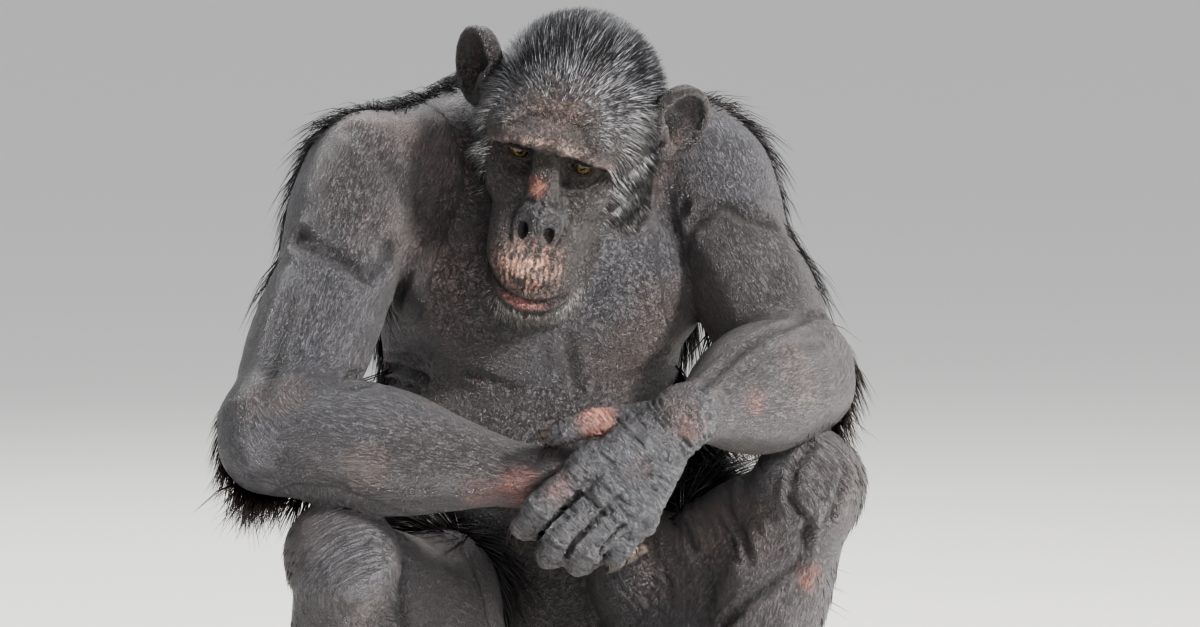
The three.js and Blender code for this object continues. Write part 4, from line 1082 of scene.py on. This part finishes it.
def skin_material():
    n = Nodes("skin")
    place, lie = n.place(), n.add("Attribute", "Vector", attribute_name="grain")
    pores = n.add("TexVoronoi", feature="DISTANCE_TO_EDGE", Vector=place, Scale=760.0)
    lines = n.add("TexVoronoi", feature="DISTANCE_TO_EDGE", Vector=place, Scale=300.0)
    patches = n.noise(place, 120.0, 6.0, 0.65)
    streaks = n.noise(lie, 0.9, 5.0, 0.6)
    crack = n.math("ABSOLUTE", n.math("SUBTRACT", n.noise(lie, 0.35, 4.0, 0.6), 0.5), 0.0)
    # painted shade in the fine creases: the colour is darker along the lines and the cracks; the patches, the
    # fine noise and the streaks vary it at random
    dark = n.math("MULTIPLY", n.spread(lines, 0.0, 0.12, 0.86, 1.0), n.spread(patches, 0.3, 0.7, 0.78, 1.22),
                  n.spread(n.noise(place, 700.0, 3.0), 0.35, 0.7, 0.85, 1.25),
                  n.spread(streaks, 0.35, 0.65, 0.6, 1.4), n.spread(crack, 0.0, 0.034, 0.34, 1.0))
    height = n.math("ADD", n.spread(pores, 0.0, 0.2, 0.0, 0.25), n.spread(lines, 0.0, 0.14, 0.0, 0.35),
                    n.math("MULTIPLY", n.noise(place, 42.0, 5.0, 0.6), 1.6), n.math("MULTIPLY", streaks, 1.3),
                    n.spread(crack, 0.0, 0.06, 0.0, 1.3))
    return n.finish(Base_Color=n.shaded(dark), Roughness=n.spread(patches, 0.3, 0.7, 0.27, 0.46),
                    Specular_IOR_Level=0.75, Sheen_Weight=0.10, Sheen_Roughness=0.5,
                    Normal=n.add("Bump", Strength=0.8, Distance=0.0014, Height=height))

skin.data.materials.append(skin_material())
print("skin material of", len(skin.data.materials[0].node_tree.nodes), "nodes")

# %% [markdown]
# ## Eyes
# The eyes sit deep under the brow. Each is a whole ball with a clear bulge over the iris, turned towards
# the point it looks at. A lathe profile gives the ball and the bulge in one surface, with rings just
# where the colour changes: black pupil, amber iris with a dark rim, and the dark brown white of a
# chimpanzee's eye.

# %% Eyes
PUPIL, RIM, WHITE = (0.004, 0.003, 0.003), (0.035, 0.018, 0.008), (0.040, 0.024, 0.016)
TURNS = 64  # points round the eye

def eye_tone(angle, k):
    if 11 <= angle < 27:
        fibre = 0.75 + 0.25 * math.sin(k * 2.9 + 1.7 * math.sin(k * 0.9))
        glow = (0.55 + 0.6 * (angle - 11) / 16) * fibre
        return 0.13 * glow, 0.10 * glow, 0.036 * glow
    return PUPIL if angle < 11 else RIM if angle < 32 else WHITE

def eyeball(centre, gaze, name):
    forward = unit(gaze)
    across = unit(np.cross(forward, vec(0, 0, 1)))
    up = np.cross(across, forward)
    angles = np.r_[np.linspace(0, 34, 18), np.linspace(37, 180, 26)]
    reach = [EYE_R + 1.0 * max(0, 1 - (a / 33) ** 2) for a in angles]
    points, tones = [centre + forward * reach[0]], [PUPIL]
    for a, r in zip(angles[1:-1], reach[1:-1]):
        t = math.radians(a)
        for k in range(TURNS):
            turn = 2 * math.pi * k / TURNS
            out = across * math.cos(turn) + up * math.sin(turn)
            points.append(centre + forward * r * math.cos(t) + out * r * math.sin(t))
            tones.append(eye_tone(a, k))
    points.append(centre - forward * reach[-1])
    tones.append(WHITE)
    faces, last = [], 1 + (len(angles) - 3) * TURNS
    for k in range(TURNS):
        m = (k + 1) % TURNS
        faces.append((0, 1 + k, 1 + m))
        for i in range(1, last, TURNS):
            j = i + TURNS
            faces += [(i + k, j + k, j + m), (i + k, j + m, i + m)]
        faces.append((last + k, len(points) - 1, last + m))
    return mesh_object("eyeball_" + name, np.array(points), faces, np.array(tones))

def eye_material():
    n = Nodes("eye")
    veins = n.noise(n.place(), 900.0, 4.0)
    return n.finish(Base_Color=n.shaded(n.spread(veins, 0.3, 0.7, 0.7, 1.3)), Roughness=0.06, Coat_Weight=0.6,
                    Coat_Roughness=0.03)

eye_finish = eye_material()
LOOKS_AT = vec(-60, -1900, -160)
for s, name in ((-1, "right"), (1, "left")):
    centre = out_of(HEAD, HEAD_AXES, (s * EYE[0], *EYE[1:]))
    eye = eyeball(centre, LOOKS_AT - centre, name)
    eye.data.materials.append(eye_finish)
    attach(eye, "root")
    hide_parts("eye_" + name)
    print(eye.name, "at", centre.round())

# %% [markdown]
# ## Nails
# Chimpanzees have flat nails like ours, dark and a little domed, on every finger and toe. Each is a thin
# curved plate, thick enough to be a solid, laid on the last joint with its far edge just free of the
# skin.

# %% Nails
ROWS, COLS = 7, 9  # points along and across a nail

def nail(tip, way, out, wide, long, name, node):
    side = np.cross(way, out)
    points = []
    for layer in (1, 0):
        for i in range(ROWS):
            v = i / (ROWS - 1)
            for j in range(COLS):
                u = 2 * j / (COLS - 1) - 1
                w = wide * (1 - 0.16 * v) * (1 - 0.25 * max(0, v - 0.75) * 4 * abs(u))
                drop = 0.32 * wide * u * u + 0.6 * (1 - v) - 0.9 * v * v * (v > 0.6)
                points.append(tip + way * (v - 0.62) * long + side * u * w * 0.5 + out * (0.8 * layer - drop))
    quads, n = [], ROWS * COLS
    for i in range(ROWS - 1):
        for a in range(i * COLS, i * COLS + COLS - 1):
            quads.append((a, a + 1, a + COLS + 1, a + COLS))
            quads.append((n + a, n + a + COLS, n + a + COLS + 1, n + a + 1))
    rim = [*range(COLS), *range(2 * COLS - 1, n, COLS), *range(n - 2, n - COLS - 1, -1)]
    rim += range(n - 2 * COLS, 0, -COLS)
    quads += [(a, n + a, n + b, b) for a, b in zip(rim, rim[1:] + rim[:1])]
    obj = mesh_object(name, np.array(points), quads)
    obj.data.materials.append(nail_finish)
    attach(obj, "root")
    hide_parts(node)

def nail_material():
    n = Nodes("nail")
    streak = n.noise(n.place(), 260.0, 5.0)
    colour = n.mixed("MIX", n.spread(streak, 0.35, 0.65), (0.020, 0.016, 0.014, 1), (0.062, 0.047, 0.036, 1))
    return n.finish(Base_Color=colour, Roughness=n.spread(streak, 0.3, 0.7, 0.3, 0.5),
                    Normal=n.add("Bump", Strength=0.4, Distance=0.0004, Height=streak))

nail_finish = nail_material()

def lay_nail(joints, back, wide, long, name, node):
    a, b = joints[-2:]
    way = unit(b - a)
    out = unit(back - way * (back @ way))
    hit = first_hit(b - way + out * 40, -out)
    if hit is not None:
        nail(hit + out + way * 0.3 * long, way, out, wide, long, name, node)

for k, joints in enumerate(FINGERS_LEFT):
    lay_nail(joints, vec(0, -1, -0.25), 12.5, 13.5, f"left_finger_nail_{k}", "hand_left")
lay_nail(THUMB_LEFT, vec(0.2, -0.6, 1), 13, 13, "left_finger_nail_4", "hand_left")
for k, joints in enumerate(FINGERS_RIGHT):
    lay_nail(joints, vec(0.2, -1, 0.2), 12.5, 13.5, f"right_finger_nail_{k}", "hand_right")
for side, leg in (("right", RIGHT), ("left", LEFT)):
    _, outers, big = foot_chains(leg)
    for k, joints in enumerate([big] + outers):
        more = k == 0  # the big toe has the larger nail
        lay_nail(joints, vec(0, 0, 1), 12.5 + 4 * more, 12 + 3 * more, f"{side}_toe_nail_{k}", "foot_" + side)

# %% [markdown]
# ## How the hair is made
# Hair could be thousands of curves, but only solid tufts survive as a model. Every tuft is a closed spike
# of three sides that starts in the skin, lies the way the coat lies there, leans with its neighbours and
# droops with its weight. Short hairs are single spikes of four triangles; long ones bend at two or three
# places.

# %% A map of the skin for the hair
BONES = [  # name, node of the solid part, two ends and girth
    ("head", "head", HEAD + vec(0, 0, -90), HEAD + vec(0, 0, 110), 95),
    ("trunk", "torso", vec(0, 10, 0), vec(0, -90, 640), 175),
]
for name, node, start, end, girth in (
        ("upper", "upper_arm", "shoulder", "elbow", 62), ("fore", "forearm", "elbow", "wrist", 36),
        ("thigh", "thigh", "hip", "knee", 78), ("shin", "shin", "knee", "ankle", 36),
        ("foot", "foot", "ankle", "toes", 36)):
    for side, one in (("_right", RIGHT), ("_left", LEFT)):
        BONES.append((name + side, node + side, getattr(one, start), getattr(one, end), girth))
BONES.append(("palm_right", "hand_right", RIGHT.wrist, FINGERS_RIGHT[1][-1], 36))
BONES.append(("palm_left", "hand_left", LEFT.wrist, FINGERS_LEFT[1][-1], 36))
TILES = 4  # the map is four tiles wide and high, one for each bone

def nearest_bone(p):
    return np.argmin([to_line(p, a, b)[1] - girth for _, _, a, b, girth in BONES], axis=0)

def skin_map(p, bone):
    uv = np.zeros((len(p), 2))
    for k, (_, _, a, b, _) in enumerate(BONES):
        m = bone == k
        way = unit(b - a)
        side = unit(np.cross(way, vec(0, 1, 0.1)))
        front = np.cross(side, way)
        q = p[m] - a
        turn = np.arctan2(q @ side, q @ front) / (2 * math.pi) + 0.5
        reach = np.clip((q @ way) / np.linalg.norm(b - a) * 0.8 + 0.1, 0, 1)
        uv[m] = np.c_[(k % TILES + 0.01 + 0.95 * turn) / TILES, (k // TILES + 0.01 + 0.95 * reach) / TILES]
    return uv

print("bones on the map", len(BONES))

# %% [markdown]
# ### Growing a tuft
# Roots are strewn over the triangles by area and thickness of the coat. A tuft is a stack of three-sided
# rings that narrow to a tip, and its ring and tip points all get a small patch of the map at the place of
# the root.

# %% Tufts
tri_centre = points[tris].mean(1)
tri_cross = np.cross(points[tris[:, 1]] - points[tris[:, 0]], points[tris[:, 2]] - points[tris[:, 0]])
tri_area = np.linalg.norm(tri_cross, axis=1) / 2
tri_out = unit_rows(tri_cross)
tri_tone = tones[tris].mean(1)
tri_bone = nearest_bone(tri_centre)
PATCH = 0.003  # size of the patch of one tuft on the map
CLEAR = 1.5  # hair stays this far above the floor

def tuft_faces(bends):
    faces = [(0, 1, 2)]
    for k in range(0, 3 * (bends - 1), 3):
        for c, d in ((k, k + 1), (k + 1, k + 2), (k + 2, k)):
            faces += [(c, c + 3, d + 3), (c, d + 3, d)]
    e = 3 * (bends - 1)
    return np.array(faces + [(e + i, e + 3, e + (i + 1) % 3) for i in range(3)])

def grow(name, thick, lie, count, long, wide, lift, droop, colour, bends=2, messy=0.22, seed=1, pale=0.0,
         silver=(0.28, 0.28, 0.28)):
    rng = np.random.default_rng(seed)
    chance = tri_area * np.clip(thick, 0, None)
    pick = rng.choice(len(tris), count, p=chance / chance.sum())
    a, b = rng.random(count), rng.random(count)
    a, b = np.where(a + b > 1, 1 - a, a)[:, None], np.where(a + b > 1, 1 - b, b)[:, None]
    corners, out = points[tris[pick]], tri_out[pick]
    root = corners[:, 0] + a * (corners[:, 1] - corners[:, 0]) + b * (corners[:, 2] - corners[:, 0])
    size = (long[pick] if np.ndim(long) else long) * rng.uniform(0.6, 1.15, count)
    width = wide * rng.uniform(0.7, 1.2, count)
    stray = np.c_[noise(root, 16, seed), noise(root, 16, seed + 5), noise(root, 16, seed + 9)]
    way = lie[pick] + 2 * messy * stray + messy * 0.5 * rng.normal(size=(count, 3))
    way = unit_rows(way - (way * out).sum(1)[:, None] * out)
    rise = lift * (0.7 + 0.6 * rng.random(count))[:, None]
    step = unit_rows(way + rise * out)
    side = unit_rows(np.cross(step, out))
    up = np.cross(side, step)
    at, rings = root - out * 1.2, []
    for k in range(bends):
        w = (width * (1 - 0.5 * k / bends) * 0.5)[:, None]
        rings.append(np.stack([at + side * w, at - side * w, at + up * 0.9 * w], 1))
        at = at + step * (size / bends)[:, None]
        step = unit_rows(step + droop * vec(0, 0, -1) - 0.12 * rise * out)
    verts = np.concatenate([*rings, at[:, None]], 1)
    per = 3 * bends + 1
    low = verts[..., 2].min(1) < CLEAR
    verts[low, :, 2] = np.maximum(verts[low, :, 2], CLEAR + 0.4 * (np.arange(per) % 3))
    every = (np.arange(count)[:, None, None] * per + tuft_faces(bends)).reshape(-1, 3)
    hue = colour[pick] if np.ndim(colour) > 1 else np.array(colour)
    share = pale[pick] if np.ndim(pale) else pale
    hue = np.where((rng.random(count) < share)[:, None], np.array(silver), hue)
    hue = np.repeat(hue * rng.uniform(0.65, 1.35, (count, 1)), per, 0)
    obj = mesh_object(name, verts.reshape(-1, 3), every, hue)
    corner = np.array([(i / 2, k / bends) for k in range(bends) for i in range(3)] + [(0.5, 1)])
    uv = (skin_map(root, tri_bone[pick])[:, None] + PATCH * corner).reshape(-1, 2)
    layer = obj.data.uv_layers.new(name="OFBake")
    layer.data.foreach_set("uv", np.clip(uv[every.ravel()], 0, 1).astype(np.float32).ravel())
    obj.data.materials.append(hair_finish)
    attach(obj, "root")
    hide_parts(*sorted({BONES[k][1] for k in np.unique(tri_bone[pick])}))
    print(name, count, "tufts,", len(every), "triangles")

def hair_material():
    n = Nodes("hair")
    streak = n.noise(n.place(), 500.0, 4.0)
    return n.finish(Base_Color=n.shaded(n.spread(streak, 0.3, 0.7, 0.75, 1.25)),
                    Roughness=n.spread(streak, 0.3, 0.7, 0.32, 0.5), Specular_IOR_Level=0.6)

hair_finish = hair_material()
print("skin to grow on", round(float(tri_area.sum() / 1e6), 2), "square metres")

# %% [markdown]
# ## Where the hair grows and how it lies
# This animal is nearly bare in front. Long black hair is left on the back and behind the shoulders, down
# the backs of the arms to a tuft at each elbow, and on the outer sides of the legs. The crown is swept
# back from a point on the forehead, and the cheeks carry grey whiskers. Each region has its own
# thickness, length and lie.

# %% Regions of the coat
c, out = tri_centre, tri_out
side = np.sign(c[:, 0])
on_part = {bone[0]: tri_bone == k for k, bone in enumerate(BONES)}
hx, hy, hz = on_head(c).T
ears = near_part(c, "ear_right", "ear_left", reach=3)
head_skin = near_part(c, "head", reach=5) & ~ears & (hz > -118)
face = soft(-hy, 34, 54) * soft(-np.abs(hx), -62, -50) * soft(-hz, -70, -58)
body_c = ~head_skin & ~ears
trunk_c = on_part["trunk"] & body_c

def on(*names):
    return np.any([on_part[name + end] for name in names for end in ("_right", "_left")], 0)

def head_way(v):
    return unit_rows(v) @ HEAD_AXES

def everywhere(*way):
    return np.tile(vec(*way), (len(c), 1))

BLACK, BROWN, PALE = (0.012, 0.010, 0.011), (0.03, 0.022, 0.018), (0.42, 0.41, 0.40)
IRON, ASH = (0.030, 0.029, 0.032), (0.05, 0.048, 0.048)

# %% [markdown]
# ### Long hair
# The back is a black cape of hair that falls over the shoulders. It lies back and down, ends in a fringe
# behind the arms, and thins out to the sides. Elbows and flanks carry the longest tufts that are seen
# from the front.

# %% Hair of the back, arms and legs
backward = out @ unit(vec(0, 1, 0.25))
back_thick = trunk_c * soft(backward, 0.02, 0.35) * soft(c[:, 2], 30, 90)
high = soft(c[:, 2], 470, 590)
back_lie = np.c_[0.16 * side + 0.12 * side * high, 0.2 + 0.6 * high, -0.95 + 0 * side]
for k, (low, top) in enumerate(((0, 250), (250, 440), (440, 700))):
    band = back_thick * (c[:, 2] >= low) * (c[:, 2] < top)
    grow(f"coat_back_{k}", band, back_lie, 11000, 74 - 24 * high, 2.0, 0.13, 0.26, BLACK, seed=11 + k)
upper, fore = on("upper"), on("fore")
shoulder_top = (upper | trunk_c) * soft(backward, -0.15, 0.25) * soft(c[:, 2], 440, 540)
grow("coat_shoulders", shoulder_top, back_lie, 13000, 58, 1.2, 0.16, 0.38, BLACK, messy=0.25, seed=21)

arm_lie = everywhere(*unit(LEFT.elbow - LEFT.wrist) + vec(0, 0.1, -1.7))
for name, a, b, bend in (("fore_right", RIGHT.wrist, RIGHT.elbow, (0, 0.1, -1.7)),
                         ("upper_right", RIGHT.shoulder, RIGHT.elbow, (-0.1, 0.35, -0.1)),
                         ("upper_left", LEFT.shoulder, LEFT.elbow, (0.1, 0.35, -0.1))):
    arm_lie[on_part[name]] = unit(b - a) + bend
behind = soft(out[:, 1], 0.1, 0.5)
elbow_near = np.maximum(ball(c, RIGHT.elbow, 110), ball(c, LEFT.elbow, 110))
under = soft(-out[:, 2], 0.1, 0.7)
over_elbow = c[:, 2] - np.where(side > 0, LEFT.elbow[2], RIGHT.elbow[2])
low_side = under * soft(over_elbow, -70, -40) * soft(-c[:, 2], -380, -340)
arm_thick = (upper * behind * 0.8 +
             fore * soft(out[:, 1], -0.55, -0.1) * np.maximum(low_side * elbow_near, 0.5 * behind))
arm_long = 22 + 18 * elbow_near * under + 32 * elbow_near * behind * upper
grow("coat_arms", arm_thick, arm_lie, 10000, arm_long, 1.2, 0.13, 0.34, BROWN, seed=31)

outward = out[:, 0] * side
leg_thick = (on("thigh", "shin") * (soft(out[:, 1], 0.15, 0.5) + 0.2 * soft(outward, 0.5, 0.95)) *
             soft(c[:, 2], 14, 40) * soft(outward, -0.3, 0.2))
grow("coat_legs", leg_thick, everywhere(0, 0.4, -1), 7000, 18, 1.2, 0.12, 0.25, BROWN, seed=41)

flank = trunk_c * soft(np.abs(c[:, 0]), 60, 90) * soft(c[:, 2], 210, 260) * soft(-c[:, 2], -400, -360)
flank_lie = np.c_[np.where(side > 0, 1.0, 0.4) * side, 0.2 + 0 * side, np.where(side > 0, -0.5, -1.0)]
flank = flank * soft(out[:, 1], -0.5, 0.1)
flank_long = np.where(side > 0, 115, 80)
grow("coat_flanks", flank, flank_lie, 9000, flank_long, 2.0, 0.42, 0.2, BLACK, messy=0.2, seed=46)

# %% [markdown]
# ### Hair of the head
# Grey hairs grow among the black ones, more of them at the temples, and the grey strands also carry
# painted sheen: they stand partly for grey hair and partly for light shining on black hair. Each strand is
# either grey or dark, because a mix of single strands looks like an old coat and one average grey would look
# like felt.

# %% Hair of the head
swept = unit_rows(np.c_[hx, hy, hz] - vec(0, -74, 52))
swept[:, 2] -= 0.55 * soft(np.abs(hx), 40, 75)
crown_lie = head_way(swept)
hairline = np.hypot(hx / 50, (hz - 45) / 27)
bare_brow = 1 - soft(-hy, 44, 62) * soft(-hz, -58, -46)
scalp = head_skin * soft(hairline, 0.55, 1.15) * soft(hz, -70, -30) * bare_brow
scalp = np.maximum(scalp, head_skin * 0.16 * soft(hz, 62, 70)) * (1 - soft(-hz, -5, 25) * soft(-hy, -50, -20))
# painted sheen in part: the share of grey strands also stands in for light shining on black hair
grey_and_sheen_share = 0.16 + 0.22 * soft(-hy, 5, 60) + 0.25 * soft(np.abs(hx), 40, 66) + 0.2 * noise(c, 14, 3)
crown_long = 9 + 22 * soft(hy, -66, 10) + 8 * soft(np.abs(hx), 40, 75)
for k, half in enumerate((soft(-hy, 0, 0.01), soft(hy, 0, 0.01))):
    grow(f"coat_crown_{k}", scalp * half, crown_lie, 15000 - 3000 * k, crown_long, 0.52 + 0.3 * k, 0.17, 0.05,
         IRON, messy=0.10, seed=51 + k, pale=grey_and_sheen_share, silver=(0.31, 0.32, 0.34))

whisker = head_skin * soft(-hz, -70, -40) * soft(hz, -96, -60) * soft(-hy, -34, 0) * soft(np.abs(hx), 46, 58)
whisker = whisker * (1 - 0.9 * soft(-hy, 56, 72))
whisker_lie = head_way(np.c_[0.45 * np.sign(hx), 0.55 + 0 * hx, -1.0 + 0 * hx])
grow("coat_whiskers", whisker, whisker_lie, 11500, 26, 0.62, 0.17, 0.10, ASH, messy=0.12, seed=61, pale=0.65)
chin = head_skin * soft(-hz, 84, 94) * soft(-hy, 70, 100)
grow("coat_chin", chin, head_way(everywhere(0, -0.2, -1)), 900, 11, 0.45, 0.5, 0.1, PALE, bends=1, messy=0.35,
     seed=71)

# %% [markdown]
# ### Short hair
# Even the bare arms and chest have fine short hairs, a little paler than the skin under them, which catch
# the light. They take their colour from the skin, with its painted shade, so that its markings show through.

# %% Short pale hair
fuzz = (body_c * (1 - 0.95 * on("palm", "foot")) * (0.5 + 0.5 * soft(noise(c, 60, 21), -0.3, 0.4)) *
        soft(-out[:, 1], -0.5, 0.3))
fuzz_lie = np.where((upper | fore)[:, None], arm_lie, everywhere(0, 0.2, -1))
# the short hair takes the skin's tones, its painted shade included
fuzz_tone = tri_tone * 2.0 + 0.10
grow("coat_short", fuzz, fuzz_lie, 34000, 9, 0.34, 0.16, 0.0, fuzz_tone, bends=1, messy=0.3, seed=81)
face_fuzz = head_skin * (0.04 + 0.96 * (1 - face)) * soft(-hy, -30, 10) * (hz < 40)
grow("coat_face", face_fuzz, whisker_lie, 4000, 7, 0.3, 0.3, 0.0, fuzz_tone, bends=1, messy=0.4, seed=91)

# %% [markdown]
# ## Studio
# A pale floor and four soft lamps show the animal plainly: a warm key from the upper right, a broad one
# in front, a weak fill and one from behind. The camera stands where the photographer stood, low and far
# off with a long lens.

# %% Floor, light and camera
def light(name, where, energy, size, aim, colour=(1, 1, 1)):
    data = bpy.data.lights.new(name, "AREA")
    data.energy, data.size, data.color = energy, size, colour
    obj = in_scene(bpy.data.objects.new(name, data))
    obj.location = where
    obj.rotation_euler = (Vector(aim) - Vector(where)).to_track_quat("-Z", "Y").to_euler()

bpy.ops.mesh.primitive_plane_add(size=160, location=(0, 0, 0))
floor = bpy.context.object
floor.data.materials.append(Nodes("floor").finish(Base_Color=(0.86, 0.85, 0.83, 1), Roughness=0.8))
light("key", (2.26, -2.04, 2.15), 215, 0.5, (0, -0.15, 0.4), (1, 0.97, 0.93))
light("front", (0.9, -3.7, 0.75), 78, 1.3, (0, -0.15, 0.35), (1, 0.98, 0.96))
light("fill", (-2.6, -2.4, 1.5), 10, 2.6, (0, -0.15, 0.4))
light("back", (-0.8, 2.4, 2.6), 40, 1.6, (0, -0.1, 0.5))
world = bpy.data.worlds.new("studio")
world.use_nodes = True
sky = world.node_tree.nodes["Background"].inputs
sky["Color"].default_value, sky["Strength"].default_value = (0.80, 0.81, 0.83, 1), 0.6

lens = bpy.data.cameras.new("camera")
lens.lens, lens.sensor_width, lens.clip_end = LENS, SENSOR, 60
camera = in_scene(bpy.data.objects.new("camera", lens))
camera.location = VIEW_FROM * MM
camera.rotation_euler = (math.pi / 2 - RISE, 0, 0)
scene = bpy.context.scene
scene.world, scene.camera = world, camera
scene.view_settings.look = "AgX - High Contrast"
print("camera at", camera.location, "and", len(bpy.data.lights), "lights")
